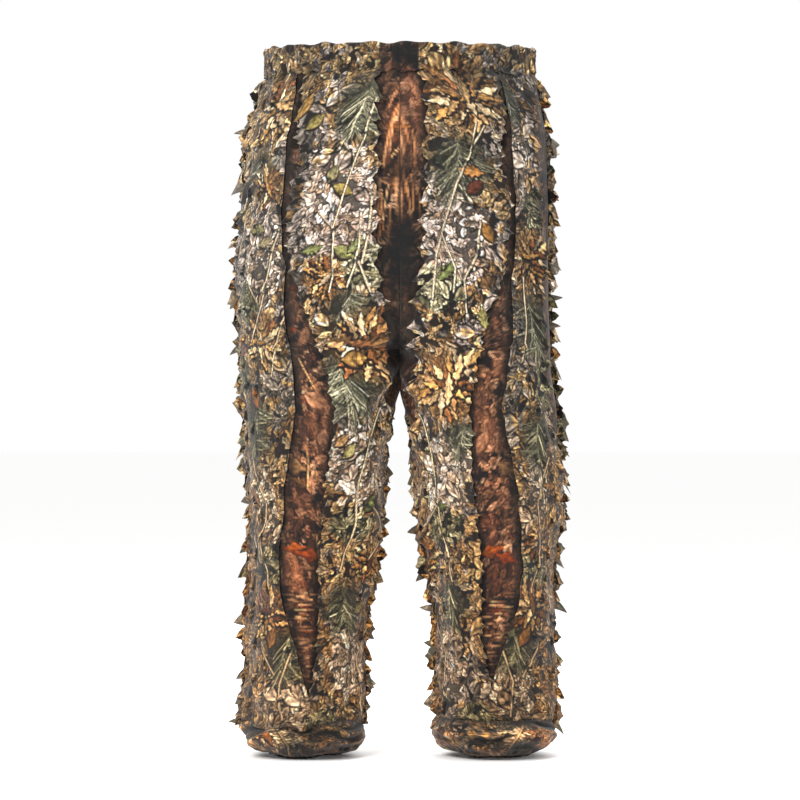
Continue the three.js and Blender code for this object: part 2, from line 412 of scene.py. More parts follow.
def paintLeaf(canvas, u, z, length, width, turn, color, lobes=0):
    rows, columns, du, dz = patchOf(u, z, length / 2 + 0.002)
    s, t, q = leafForm(du, dz, length, width, turn, lobes)
    if q.size == 0:
        return
    mask = np.clip((1.0 - q) / 0.18 + 0.5, 0, 1)[..., None]
    shade = 0.86 + 0.22 * np.sign(t) * np.clip(abs(t), 0, 0.7) + 0.10 * np.sin(s * 9 - abs(t) * 5)
    vein = np.exp(-((t / 0.10) ** 2))[..., None]
    body = color * shade[..., None]
    body = body * (1 - 0.35 * vein) + 0.35 * vein * np.minimum(color * 1.35, 1)
    rim = smooth(q, 0.62, 0.95)[..., None]
    body = body * (1 - 0.8 * rim) + darkLine * 0.8 * rim
    layOn(canvas, rows, columns, body, mask)


def paintStroke(canvas, start, end, width, color, strength=1.0):
    middle = ((start[0] + end[0]) / 2, (start[1] + end[1]) / 2)
    length = math.dist(start, end)
    rows, columns, du, dz = patchOf(*middle, length / 2 + width)
    if length < 1e-5:
        return
    cosine, sine = (end[0] - start[0]) / length, (end[1] - start[1]) / length
    along = np.clip(du * cosine + dz * sine, -length / 2, length / 2)
    gap = np.hypot(du - along * cosine, dz - along * sine)
    mask = strength * np.clip((width / 2 - gap) / cell + 0.5, 0, 1)[..., None]
    layOn(canvas, rows, columns, color, mask)


# A twig: a broad dark line, shifted down as a painted shadow, with the bright one laid over it.
def paintLine(canvas, points, width, color):
    dark = tint("30261f")
    for thick, shift, paint in ((1.9, -0.0006, dark), (1.0, 0.0, color)):
        for a, b in zip(points[:-1], points[1:]):
            start, end = (a[0] - shift, a[1] + shift), (b[0] - shift, b[1] + shift)
            paintStroke(canvas, start, end, width * thick, paint)


# Leaf litter all over a canvas, as its light and shade and a random tone for each leaf.
def scatterLeaves(seed, count, length):
    rng = np.random.default_rng(seed)
    light, tone = np.full(canvasSize, 0.35), np.full(canvasSize, 0.5)
    for _ in range(count):
        u, z = rng.uniform(canvasU[0], canvasU[-1]), rng.uniform(canvasZ[0], canvasZ[-1])
        size = length * rng.uniform(0.72, 1.5) ** 2
        rows, columns, du, dz = patchOf(u, z, size / 2)
        if 0 in (rows.stop - rows.start, columns.stop - columns.start):
            continue
        turn, width = rng.uniform(0, math.pi), size * rng.uniform(0.35, 0.75)
        s, t, q = leafForm(du, dz, size, width, turn, rng.choice([0, 2, 3]))
        inside = q < 1.15
        shade = 0.92 + 0.22 * t + 0.18 * np.cos(s * 7 - abs(t) * 6) + rng.uniform(-0.2, 0.15)
        shade = shade * (1 - 0.72 * smooth(q, 0.66, 1.02)) * (1 - 0.3 * np.exp(-((t / 0.12) ** 2)))
        light[rows, columns][inside] = shade[inside]
        tone[rows, columns][inside] = rng.uniform()
    return light, tone


def colourIn(light, tone, kind):
    table = palettes[kind]
    picked = table[np.clip((tone * len(table)).astype(int), 0, len(table) - 1)]
    return picked * np.clip(light, 0.12, 1.25)[..., None]


# Where the motifs of the print fall on the front: metres from the middle (+ is the wearer's
# left) and below the waist, with their half width and half height.
motifs = {
    "pale": [
        (-0.078, -0.235, 0.058, 0.090), (0.076, -0.262, 0.050, 0.085), (-0.062, -0.604, 0.048, 0.060),
        (0.060, -0.612, 0.048, 0.060), (-0.187, -0.300, 0.032, 0.090), (0.158, -0.165, 0.022, 0.080),
        (-0.192, -0.660, 0.030, 0.060), (0.185, -0.640, 0.030, 0.060), (-0.165, -0.930, 0.045, 0.040),
        (0.160, -0.925, 0.045, 0.040), (-0.075, -0.880, 0.035, 0.050), (0.070, -0.870, 0.035, 0.050),
    ],
    "needle": [
        (-0.050, -0.090, 0.040, 0.048), (0.080, -0.172, 0.045, 0.045), (-0.078, -0.480, 0.055, 0.045),
        (0.188, -0.400, 0.030, 0.045), (-0.190, -0.180, 0.030, 0.030), (-0.200, -0.540, 0.028, 0.050),
        (-0.160, -0.862, 0.035, 0.035), (0.160, -0.850, 0.035, 0.035), (-0.080, -0.795, 0.032, 0.035),
        (0.074, -0.790, 0.032, 0.035), (-0.075, -0.375, 0.030, 0.030), (0.190, -0.560, 0.028, 0.040),
        (0.085, -0.555, 0.030, 0.025), (0.150, -0.075, 0.016, 0.040),
    ],
    "oak": [
        (-0.182, -0.200, 0.032, 0.028), (-0.052, -0.425, 0.050, 0.050), (0.088, -0.075, 0.050, 0.050),
        (0.182, -0.302, 0.034, 0.036), (0.070, -0.482, 0.052, 0.048), (-0.048, -0.730, 0.030, 0.030),
        (0.040, -0.730, 0.030, 0.030), (-0.185, -0.805, 0.034, 0.036), (0.180, -0.795, 0.034, 0.036),
        (-0.060, -0.945, 0.026, 0.026), (0.052, -0.945, 0.026, 0.026), (-0.168, -0.085, 0.034, 0.046),
        (-0.190, -0.420, 0.028, 0.040), (0.192, -0.700, 0.024, 0.030), (-0.100, -0.330, 0.026, 0.030),
    ],
    "olive": [
        (-0.060, -0.318, 0.040, 0.030), (0.060, -0.345, 0.035, 0.035), (-0.205, -0.365, 0.025, 0.030),
        (-0.070, -0.680, 0.040, 0.028), (0.060, -0.685, 0.040, 0.028), (0.190, -0.235, 0.026, 0.030),
        (-0.215, -0.470, 0.020, 0.030), (0.200, -0.480, 0.022, 0.030), (-0.180, -0.735, 0.030, 0.028),
        (0.185, -0.742, 0.030, 0.028), (-0.110, -0.955, 0.030, 0.020), (0.110, -0.955, 0.030, 0.020),
    ],
}
twigs = [  # x and level of each twig's bends
    [(-0.030, -0.070), (-0.046, -0.130), (-0.074, -0.205), (-0.090, -0.262), (-0.091, -0.330),
     (-0.098, -0.352)],
    [(-0.091, -0.262), (-0.112, -0.238)],
    [(-0.052, -0.240), (-0.056, -0.290), (-0.062, -0.318), (-0.072, -0.345)],
    [(-0.036, -0.215), (-0.040, -0.262), (-0.052, -0.312)],
    [(-0.056, -0.310), (-0.042, -0.352)],
    [(0.116, -0.118), (0.098, -0.150), (0.078, -0.200), (0.060, -0.265), (0.050, -0.300),
     (0.046, -0.362)],
    [(0.058, -0.268), (0.078, -0.318), (0.074, -0.352)],
    [(0.098, -0.150), (0.104, -0.112)],
    [(0.112, -0.255), (0.108, -0.300), (0.090, -0.335), (0.094, -0.380)],
    [(-0.160, -0.262), (-0.176, -0.318), (-0.190, -0.370), (-0.204, -0.420)],
    [(-0.196, -0.365), (-0.205, -0.335)],
    [(-0.212, -0.215), (-0.216, -0.300)],
    [(-0.150, -0.372), (-0.172, -0.425), (-0.178, -0.470)],
    [(-0.022, -0.505), (-0.046, -0.560), (-0.062, -0.620), (-0.066, -0.680), (-0.084, -0.745)],
    [(-0.046, -0.655), (-0.034, -0.690), (-0.050, -0.730)],
    [(-0.034, -0.690), (-0.022, -0.730)],
    [(0.024, -0.520), (0.040, -0.575), (0.048, -0.640), (0.060, -0.700), (0.076, -0.760)],
    [(0.050, -0.650), (0.036, -0.690)],
    [(0.176, -0.330), (0.178, -0.392), (0.168, -0.450)],
    [(0.200, -0.120), (0.196, -0.180), (0.206, -0.235)],
    [(-0.205, -0.590), (-0.190, -0.650), (-0.196, -0.710), (-0.180, -0.770)],
    [(0.205, -0.585), (0.188, -0.650), (0.196, -0.715), (0.182, -0.775)],
    [(-0.150, -0.855), (-0.168, -0.905), (-0.164, -0.955)],
    [(0.142, -0.850), (0.160, -0.900), (0.158, -0.950)],
    [(-0.052, -0.820), (-0.064, -0.870), (-0.060, -0.920)],
    [(0.052, -0.815), (0.062, -0.865), (0.060, -0.915)],
    [(-0.195, -0.855), (-0.176, -0.892)],
    [(0.192, -0.855), (0.176, -0.895)],
]
brightLeaves = [  # x, level, length, colour
    (-0.132, -0.088, 0.026, "cf9a3e"), (-0.118, -0.112, 0.022, "b5a24c"),
    (-0.092, -0.186, 0.020, "a7a062"), (-0.078, -0.208, 0.022, "bfa948"),
    (0.098, -0.182, 0.026, "d6903a"), (0.102, -0.205, 0.022, "7a3f22"),
    (-0.076, -0.296, 0.024, "a3a552"), (-0.118, -0.292, 0.022, "8f9a4c"),
    (-0.060, -0.286, 0.022, "9aa35a"), (0.066, -0.322, 0.026, "8fa04e"),
    (0.122, -0.268, 0.022, "c5882f"), (0.118, -0.388, 0.022, "a8a24e"),
    (-0.192, -0.262, 0.022, "b0a860"), (-0.180, -0.280, 0.020, "c2b070"),
    (-0.064, -0.445, 0.030, "d8a244"), (0.200, -0.258, 0.022, "c98f38"),
    (-0.074, -0.575, 0.020, "c8c06a"), (-0.084, -0.560, 0.018, "c79858"),
    (-0.216, -0.430, 0.024, "a85e2a"), (0.208, -0.365, 0.022, "b8782c"),
    (-0.200, -0.500, 0.026, "c0752e"), (-0.050, -0.650, 0.022, "7c8a48"),
    (0.052, -0.655, 0.022, "7c8a48"), (0.110, -0.440, 0.022, "c79a48"),
    (-0.178, -0.840, 0.022, "c8862e"), (0.172, -0.838, 0.022, "c8862e"),
    (0.050, -0.800, 0.022, "b9ae4a"), (-0.060, -0.798, 0.022, "b9ae4a"),
    (-0.205, -0.640, 0.020, "b8763a"), (0.206, -0.625, 0.020, "c08a45"),
]
barkLeaves = [  # x, level, length, colour
    (-0.150, -0.712, 0.036, "b8631c"), (-0.128, -0.722, 0.042, "a5521a"),
    (0.128, -0.716, 0.038, "b8631c"), (0.150, -0.726, 0.036, "a04f1a"),
    (-0.150, -0.560, 0.026, "7a5a34"), (0.150, -0.565, 0.026, "7a4a30"),
    (-0.120, -0.170, 0.030, "8a3f22"), (0.110, -0.190, 0.026, "8a3f22"),
    (-0.140, -0.620, 0.030, "6f5534"), (-0.122, -0.830, 0.028, "9a5a28"),
    (0.118, -0.832, 0.028, "94562a"), (-0.112, -0.880, 0.024, "8f4c22"),
    (0.112, -0.878, 0.024, "8f4c22"), (-0.006, -0.120, 0.030, "9c6634"),
    (0.004, -0.330, 0.024, "8a5a30"), (-0.146, -0.345, 0.024, "8a4a32"),
    (0.140, -0.350, 0.024, "70422c"), (-0.150, -0.405, 0.022, "a4522a"),
    (-0.151, -0.596, 0.046, "a08058"), (0.151, -0.600, 0.042, "94764f"),
    (-0.118, -0.905, 0.044, "94481f"), (0.118, -0.905, 0.044, "94481f"),
    (-0.126, -0.800, 0.034, "8c4a26"), (0.126, -0.800, 0.034, "8c4a26"),
]
# Painted shade on the bark print: under the waistband, down the middle towards the crotch, and in spots
# on the thighs.
paintedShadePatches = [  # x, level, half width, half height, strength
    (0.006, -0.014, 0.022, 0.016, 0.75), (0.026, -0.030, 0.012, 0.016, 0.6),
    (-0.004, -0.175, 0.020, 0.030, 0.5), (0.006, -0.290, 0.022, 0.060, 0.55),
    (-0.004, -0.290, 0.022, 0.060, 0.55), (-0.158, -0.470, 0.014, 0.050, 0.4),
    (0.158, -0.480, 0.014, 0.050, 0.4), (-0.120, -0.780, 0.016, 0.040, 0.4),
    (0.120, -0.790, 0.016, 0.040, 0.4),
]
wrinkledCalf = [(-0.130, -0.8525, 0.0775), (0.130, -0.8525, 0.0775)]  # x, level, half height


# Turns a place on the front, or its mirror image on the back, into a place on a canvas.
def clothPlace(side, x, level, face):
    across = x * sides[side] * (-face)
    middle, halfWidth, depth, seam = sectionAt(level)
    turn = math.acos(float(np.clip((across - middle) / halfWidth, -1, 1)))
    if across < -0.03 or turn > seam + 0.35:
        return None
    arc = alongCloth(np.array([turn / seam]), np.array([level]))[0]
    return face * arc, level


# The spots of a list that fall on one side's canvas, with what else the list says of each.
def spotsOn(side, face, spots):
    for x, level, *rest in spots:
        place = clothPlace(side, x, level, face)
        if place:
            yield place, *rest


def paintSpray(canvas, u, z, halfWidth, halfHeight, rng):
    rows, columns, du, dz = patchOf(u, z, 1.4 * max(halfWidth, halfHeight))
    soft = softSpot(du, dz, halfWidth, halfHeight, 2)[..., None] * 0.85
    layOn(canvas, rows, columns, tint("2b2e26"), soft)
    lean = rng.uniform(-0.6, 0.6)
    for _ in range(int(52000 * halfWidth * halfHeight) + 24):
        stem = rng.uniform(-0.9, 0.9)
        root = (u + stem * halfWidth * 0.5 * math.sin(lean), z + stem * halfHeight * 0.8)
        turn = lean - math.pi / 2 + rng.choice([-1, 1]) * rng.uniform(0.25, 1.25)
        length = rng.uniform(0.55, 1.25) * halfWidth
        end = (root[0] + length * math.cos(turn), root[1] + length * math.sin(turn))
        color = needleTints[rng.integers(len(needleTints))] * rng.uniform(0.6, 1.15)
        paintStroke(canvas, root, end, rng.uniform(0.0010, 0.0016), color, 0.9)


def paintOak(canvas, u, z, halfWidth, halfHeight, rng):
    rows, columns, du, dz = patchOf(u, z, 1.3 * max(halfWidth, halfHeight))
    soft = softSpot(du, dz, halfWidth, halfHeight, 3)[..., None] * 0.8
    layOn(canvas, rows, columns, tint("5e462a"), soft)
    for ring, share in ((13, 0.70), (10, 0.44), (6, 0.16)):
        first = rng.uniform(0, 2 * math.pi)
        for i in range(ring):
            turn = first + 2 * math.pi * i / ring + rng.uniform(-0.25, 0.25)
            reach = share * rng.uniform(0.8, 1.15)
            place = (u + reach * halfWidth * math.cos(turn), z + reach * halfHeight * math.sin(turn))
            color = oakTints[rng.integers(len(oakTints))] * rng.uniform(0.70, 1.16)
            length = rng.uniform(0.75, 1.15) * (halfWidth + halfHeight) / 2
            lean = turn + rng.uniform(-0.5, 0.5)
            # A darker, broader copy of each leaf, shifted down, is its painted shadow.
            under = (place[0] + 0.0016, place[1] - 0.0026)
            paintLeaf(canvas, *under, length, length * 0.40, lean, darkLine, 5)
            paintLeaf(canvas, *place, length, length * 0.36, lean, np.minimum(color, 1), 5)


# Leaves cut out of the strips, which lift at one end.
flaps = {
    "lanes": (0.035, 0.075, 0.115, 0.190, 0.235, 0.275),  # metres from the side seam
    "pitch": 0.030,
    "length": (0.018, 0.034),
    "slim": 0.46,
    "rise": 0.0052,
    "shadow": 0.62,
}


def cutFlaps(side, canvas):
    rng = np.random.default_rng(31 if side == "left" else 32)
    rise = np.zeros(canvasSize)
    for face in (-1, 1):
        for lane in flaps["lanes"]:
            z = waistLevel - 0.05
            while z > cuffLevel:
                z -= flaps["pitch"] * rng.uniform(0.7, 1.9)
                u = face * (lane + rng.uniform(-0.014, 0.014))
                length = rng.uniform(*flaps["length"])
                turn = -math.pi / 2 + rng.uniform(-1.0, 1.0)
                rows, columns, du, dz = patchOf(u, z, length * 0.8)
                s, t, q = leafForm(du, dz, length, length * flaps["slim"], turn, rng.choice([0, 2, 3]))
                if q.size == 0:
                    continue
                broad = length * flaps["slim"] * 1.2
                below = leafForm(du - 0.0008 * face, dz + 0.0034, length, broad, turn, 0)[2]
                shadow = (np.clip((1.1 - below) / 0.5, 0, 1) * (q > 1) * flaps["shadow"])[..., None]
                light = np.where(q < 1, 1.12 - 0.25 * smooth(q, 0.6, 1.0) * (s < 0.4), 1.0)[..., None]
                canvas[rows, columns] = canvas[rows, columns] * (1 - shadow) * light
                lifted = flaps["rise"] * np.clip(0.5 + 0.5 * s, 0, 1) * np.clip((1 - q) / 0.12, 0, 1)
                rise[rows, columns] = np.maximum(rise[rows, columns], lifted)
    return rise


def zoneWeights(side, lists):
    weights = {}
    for kind, spots in lists.items():
        total = np.zeros(canvasSize)
        for face in (-1, 1):
            for place, halfWidth, halfHeight in spotsOn(side, face, spots):
                rows, columns, du, dz = patchOf(*place, 2.2 * max(halfWidth, halfHeight))
                blob = softSpot(du, dz, halfWidth, halfHeight, 1.5)
                total[rows, columns] = np.maximum(total[rows, columns], blob)
        weights[kind] = total
    return weights


def noiseOver(acrossPitch, downPitch, acrossShift, downShift, seed):
    across, down = canvasU[None, :] / acrossPitch, canvasZ[:, None] / downPitch
    return softNoise(across + acrossShift, down + downShift, seed)


def paintStripCloth(side, light, tone):
    rng = np.random.default_rng(7 if side == "left" else 8)
    zones = zoneWeights(side, {k: motifs[k] for k in ("pale", "olive", "oak")})
    drift = noiseOver(0.05, 0.07, 40, 60, 11 + sides[side])
    grain = noiseOver(0.009, 0.012, 40, 160, 15 + sides[side])
    mixed = {
        "pale": 1.25 * zones["pale"] + 0.15 * grain,
        "olive": 1.15 * zones["olive"] + 0.35 * np.clip(drift, 0, 1) + 0.25 * grain,
        "tan": 0.9 * zones["oak"] + 0.42 - 0.35 * drift - 0.2 * grain,
        "grey": 0.36 + 0.25 * grain,
    }
    kinds = list(mixed)
    best = np.argmax(np.stack([mixed[k] for k in kinds]), axis=0)
    canvas = np.zeros(canvasSize + (3,))
    for i, kind in enumerate(kinds):
        chosen = best == i
        canvas[chosen] = colourIn(light, tone, kind)[chosen]
    for face in (-1, 1):
        for place, halfWidth, halfHeight in spotsOn(side, face, motifs["needle"]):
            paintSpray(canvas, *place, halfWidth, halfHeight, rng)
        for place, halfWidth, halfHeight in spotsOn(side, face, motifs["oak"]):
            paintOak(canvas, *place, halfWidth, halfHeight, rng)
        for place, length, code in spotsOn(side, face, brightLeaves):
            color = 0.52 * tint(code) + 0.25 * tint(code).mean()
            turn, lobes = rng.uniform(0, 3.1), rng.choice([0, 4, 5])
            # A darker, broader copy of each leaf, shifted down, is its painted shadow.
            under = (place[0] + 0.0012, place[1] - 0.0022)
            paintLeaf(canvas, *under, length * 1.4, length * 0.95, turn, darkLine, lobes)
            paintLeaf(canvas, *place, length * 1.4, length * 0.88, turn, color, lobes)
        for line in twigs:
            places = [clothPlace(side, x, level, face) for x, level in line]
            if None not in places:
                paintLine(canvas, places, rng.uniform(0.0018, 0.0028), tint("aea187"))
    return canvas


def paintBarkCloth(side, light, tone):
    rng = np.random.default_rng(17 if side == "left" else 18)
    streak = noiseOver(0.007, 0.030, 40, 60, 21 + sides[side])
    broad = noiseOver(0.03, 0.16, 40, 60, 23 + sides[side])
    ground = tint("4b382c") * (1 + 0.75 * streak + 0.35 * broad)[..., None]
    streaked = (1 + 0.5 * streak)[..., None]
    for code, amount in (("83573b", broad * 1.6 - 0.35), ("5b524d", -broad * 1.5 - 0.4)):
        amount = np.clip(amount, 0, 1)[..., None]
        ground = ground * (1 - 0.5 * amount) + tint(code) * streaked * 0.5 * amount
    leafy = colourIn(light, tone, "bark")
    some = smooth(noiseOver(0.03, 0.05, 4, 6, 27), -0.35, 0.25)
    share = (0.48 + 0.45 * some)[..., None]
    canvas = ground * (1 - share) + leafy * share
    for face in (-1, 1):
        for place, length, code in spotsOn(side, face, barkLeaves):
            color = 0.55 * tint(code) + 0.12 * tint(code).mean()
            paintLeaf(canvas, *place, length, length * 0.6, rng.uniform(-0.5, 0.5), color, 2)
        trunk = clothPlace(side, -0.004, -0.1, face)
        if trunk:
            for _ in range(26):
                u, top = trunk[0] + rng.uniform(-0.018, 0.014), rng.uniform(-0.24, -0.03)
                color = tint(rng.choice(trunkTints))
                end = (u + rng.uniform(-0.004, 0.004), top - 0.05)
                paintStroke(canvas, (u, top), end, 0.0026, color, 0.6)
        for place, halfWidth, halfHeight, depth in spotsOn(side, face, paintedShadePatches):
            rows, columns, du, dz = patchOf(*place, 2 * max(halfWidth, halfHeight))
            blob = softSpot(du, dz, halfWidth, halfHeight, 1.5)[..., None]
            canvas[rows, columns] = canvas[rows, columns] * (1 - depth * blob)
        for place, halfHeight in spotsOn(side, face, wrinkledCalf):
            for _ in range(64):
                u = place[0] + rng.uniform(-0.045, 0.02)
                z = place[1] + rng.uniform(-halfHeight, halfHeight)
                end = (u + rng.uniform(0.012, 0.034), z + rng.uniform(-0.003, 0.003))
                paintLine(canvas, [(u, z), end], 0.0011, tint(rng.choice(wrinkleTints)))
    for _ in range(60):
        u, z = rng.uniform(-0.36, 0.36), rng.uniform(-1.03, -0.03)
        turn = rng.uniform(-0.5, 0.5) - math.pi / 2
        end = (u + 0.05 * math.cos(turn), z + 0.05 * math.sin(turn))
        paintLine(canvas, [(u, z), end], 0.0016, tint("8d7355"))
    return canvas


printing = {
    "sharpness": 0.75,
    "contrast": 0.20,
    "middle": 0.43,
    "reach": 2,
    "tone": {  # level and how much red, green and blue the print keeps there
        "outer": [(0.0, 0.92, 0.90, 0.90), (-0.25, 0.86, 0.84, 0.85), (-0.50, 0.90, 0.86, 0.82),
                  (-0.72, 0.84, 0.76, 0.68), (-1.0, 0.86, 0.77, 0.68)],
        "inner": [(0.0, 1.04, 1.0, 0.98), (-0.25, 1.02, 0.98, 1.0), (-0.50, 1.12, 1.07, 1.07),
                  (-0.72, 1.00, 0.92, 0.86), (-1.0, 0.96, 0.87, 0.80)],
        "bark": [(0.0, 1.20, 1.10, 1.06), (-0.30, 1.20, 1.14, 1.10), (-0.50, 1.30, 1.18, 1.10),
                 (-0.80, 1.28, 1.10, 0.98), (-1.0, 1.18, 1.04, 0.92)],
    },
}


def toneAt(place):
    levels = np.array(printing["tone"][place][::-1]).T
    return np.stack([np.interp(canvasZ, levels[0], c) for c in levels[1:]], axis=-1)[:, None, :]


def toned(canvas, kind):
    if kind == "bark":
        return canvas * toneAt("bark")
    nearMiddle = smooth(abs(canvasU), 0.145, 0.175)[None, :, None]
    return canvas * (toneAt("outer") * (1 - nearMiddle) + toneAt("inner") * nearMiddle)


# Makes a canvas crisper by adding its difference from a softened copy.
def sharpen(canvas):
    soft = canvas.copy()
    for axis in (0, 1):
        shifts = range(-printing["reach"], printing["reach"] + 1)
        soft = sum(np.roll(soft, shift, axis) for shift in shifts) / len(shifts)
    crisp = canvas + printing["sharpness"] * (canvas - soft)
    return np.clip(crisp + printing["contrast"] * (crisp - printing["middle"]), 0.02, 0.92)


def paintCloths():
    light, tone = scatterLeaves(3, 9500, 0.0175)
    cloths = {}
    for side in sides:
        flip = slice(None, None, sides[side])
        cloths[side] = {
            "strip": sharpen(toned(paintStripCloth(side, light[:, flip], tone[:, flip]), "strip")),
            "bark": sharpen(toned(paintBarkCloth(side, light[::-1, flip], tone[::-1, flip]), "bark")),
        }
        cloths[side]["rise"] = cutFlaps(side, cloths[side]["strip"])[..., None]
    return cloths


cloths = paintCloths()
print("print painted on %d x %d cells" % canvasSize)


def printAt(side, kind, along, level):
    canvas = cloths[side][kind]
    c = np.clip((along - canvasU[0]) / cell, 0, len(canvasU) - 1.001)
    r = np.clip((level - canvasZ[0]) / cell, 0, len(canvasZ) - 1.001)
    i, j = r.astype(int), c.astype(int)
    di, dj = (r - i)[..., None], (c - j)[..., None]
    near = canvas[i, j] * (1 - dj) + canvas[i, j + 1] * dj
    far = canvas[i + 1, j] * (1 - dj) + canvas[i + 1, j + 1] * dj
    mixed = near * (1 - di) + far * di
    return mixed if kind == "rise" else np.clip(mixed, 0.01, 1)


# Materials
weaveSockets = {
    "INPUT": {"Print": "Color", "Vector": "Vector", "Threads": "Float", "Crispness": "Float"},
    "OUTPUT": {"Color": "Color", "Roughness": "Float", "Height": "Float"},
}
litter = {"cells": 130, "bend": 0.011, "bends": 95, "fibres": 460}  # all but bend are cells a metre


def makeWeaveGroup():
    group = bpy.data.node_groups.new("printedWeave", "ShaderNodeTree")
    for way, sockets in weaveSockets.items():
        for name, kind in sockets.items():
            group.interface.new_socket(name, in_out=way, socket_type="NodeSocket" + kind)
    entry = addNode(group, "NodeGroupInput").outputs

    def maths(operation, a, b=None, clamp=False):
        inputs = {0: a} if b is None else {0: a, 1: b}
        return addNode(group, "ShaderNodeMath", inputs, operation=operation, use_clamp=clamp).outputs[0]

    def noise(scale, detail):
        inputs = {"Scale": scale, "Detail": detail, "Vector": entry["Vector"]}
        return addNode(group, "ShaderNodeTexNoise", inputs).outputs

    def thread(axis):
        return maths("SINE", maths("MULTIPLY", maths("MULTIPLY", axis, entry["Threads"]), 2 * math.pi))

    split = addNode(group, "ShaderNodeSeparateXYZ", {0: entry["Vector"]}).outputs
    threads = maths("MULTIPLY", thread(split["X"]), thread(split["Y"]))

    # cells with dark outlines, bent so that none is straight
    reach = (litter["bend"], litter["bend"], 0)
    bent = {0: noise(litter["bends"], 2)["Color"], 1: reach, 2: entry["Vector"]}
    bent = addNode(group, "ShaderNodeVectorMath", bent, operation="MULTIPLY_ADD").outputs[0]
    place = {"Scale": litter["cells"], "Vector": bent}
    cells = addNode(group, "ShaderNodeTexVoronoi", place, feature="F1").outputs
    edges = addNode(group, "ShaderNodeTexVoronoi", place, feature="DISTANCE_TO_EDGE").outputs
    tone = addNode(group, "ShaderNodeSeparateColor", {"Color": cells["Color"]}).outputs["Red"]
    line = maths("MULTIPLY", edges["Distance"], 8.0, clamp=True)
    fibres = noise(litter["fibres"], 3)["Fac"]
    spread = maths("MULTIPLY", maths("SUBTRACT", fibres, 0.5), 0.9)
    inked = maths("MULTIPLY", maths("SUBTRACT", line, 0.80), 0.5)
    patchy = maths("MULTIPLY", maths("SUBTRACT", tone, 0.45), 0.42)
    detail = maths("ADD", maths("ADD", spread, inked), patchy)
    change = maths("MULTIPLY", detail, entry["Crispness"])
    gain = maths("ADD", maths("ADD", change, 1.0), maths("MULTIPLY", threads, 0.06))
    tinted = {0: entry["Print"], "Scale": maths("MAXIMUM", gain, 0.08)}
    addNode(group, "NodeGroupOutput", {
        "Color": addNode(group, "ShaderNodeVectorMath", tinted, operation="SCALE").outputs[0],
        "Roughness": maths("ADD", maths("MULTIPLY", fibres, 0.2), 0.75),
        "Height": maths("ADD", maths("MULTIPLY", threads, 0.4), maths("MULTIPLY", fibres, 0.8)),
    })
    return group


weave = makeWeaveGroup()
clothFinish = {"Sheen Weight": 0.12, "Sheen Roughness": 0.5, "Specular IOR Level": 0.25}


# backTint is the colour of the cloth's wrong side, and backShare how much of it shows there.
def makeClothMaterial(name, crispness, backTint, backShare, bump=0.0005, threads=620):
    material, tree, surface = newMaterial(name, clothFinish)
    pattern = addNode(tree, "ShaderNodeGroup", {
        "Threads": threads,
        "Crispness": crispness,
        "Print": addNode(tree, "ShaderNodeAttribute", attribute_name="print").outputs["Color"],
        "Vector": addNode(tree, "ShaderNodeUVMap", uv_map="cloth").outputs["UV"],
    }, node_tree=weave).outputs
    inside = addNode(tree, "ShaderNodeNewGeometry").outputs["Backfacing"]
    back = addNode(tree, "ShaderNodeMath", {0: inside, 1: backShare}, operation="MULTIPLY")
    faced = {"Factor": back.outputs[0], "A": pattern["Color"], "B": (*backTint, 1)}
    raised = {"Strength": 0.6, "Distance": bump, "Height": pattern["Height"]}
    fill(tree, surface, {
        "Base Color": addNode(tree, "ShaderNodeMix", faced, data_type="RGBA").outputs["Result"],
        "Roughness": pattern["Roughness"],
        "Normal": addNode(tree, "ShaderNodeBump", raised).outputs["Normal"],
    })
    return material


clothMaterials = {
    "bark": makeClothMaterial("printed_cloth", 0.75, (0.20, 0.17, 0.14), 0.75),
    "strip": makeClothMaterial("leaf_strip_cloth", 1.0, (0.24, 0.21, 0.17), 0.45),
    "fringe": makeClothMaterial("leaf_fringe_cloth", 0.9, (0.20, 0.18, 0.14), 0.3),
    "lining": makeClothMaterial("lining_cloth", 0.25, (0.12, 0.10, 0.08), 0.5, 0.0004, 900),
    "elastic": makeClothMaterial("ribbed_elastic", 0.2, (0.05, 0.05, 0.05), 0.3, 0.0009, 420),
}


def makeThreadMaterial():
    material, tree, surface = newMaterial("sewing_thread", {"Sheen Weight": 0.2, "Roughness": 0.6})
    place = addNode(tree, "ShaderNodeTexCoord").outputs["Object"]
    twist = {"Scale": 900, "Distortion": 1.5, "Vector": place}
    wave = addNode(tree, "ShaderNodeTexWave", twist).outputs["Fac"]
    ramp = addNode(tree, "ShaderNodeValToRGB", {"Fac": wave})
    ramp.color_ramp.elements[0].color = (0.035, 0.028, 0.018, 1)
    ramp.color_ramp.elements[1].color = (0.11, 0.09, 0.055, 1)
    raised = addNode(tree, "ShaderNodeBump", {"Distance": 0.0001, "Height": wave})
    fill(tree, surface, {"Base Color": ramp.outputs["Color"], "Normal": raised.outputs["Normal"]})
    return material


threadMaterial = makeThreadMaterial()
print("materials made")


# Pieces of cloth
# A flat grid, and how far along its columns and rows each point lies, from 0 to 1.
def addGrid(name, columns, rows):
    bpy.ops.object.select_all(action="DESELECT")
    bpy.ops.mesh.primitive_grid_add(x_subdivisions=columns, y_subdivisions=rows, size=1)
    piece = bpy.context.object
    piece.name = piece.data.name = name
    places = np.empty(len(piece.data.vertices) * 3)
    piece.data.vertices.foreach_get("co", places)
    places = places.reshape(-1, 3) + 0.5
    return piece, places[:, 0], places[:, 1]


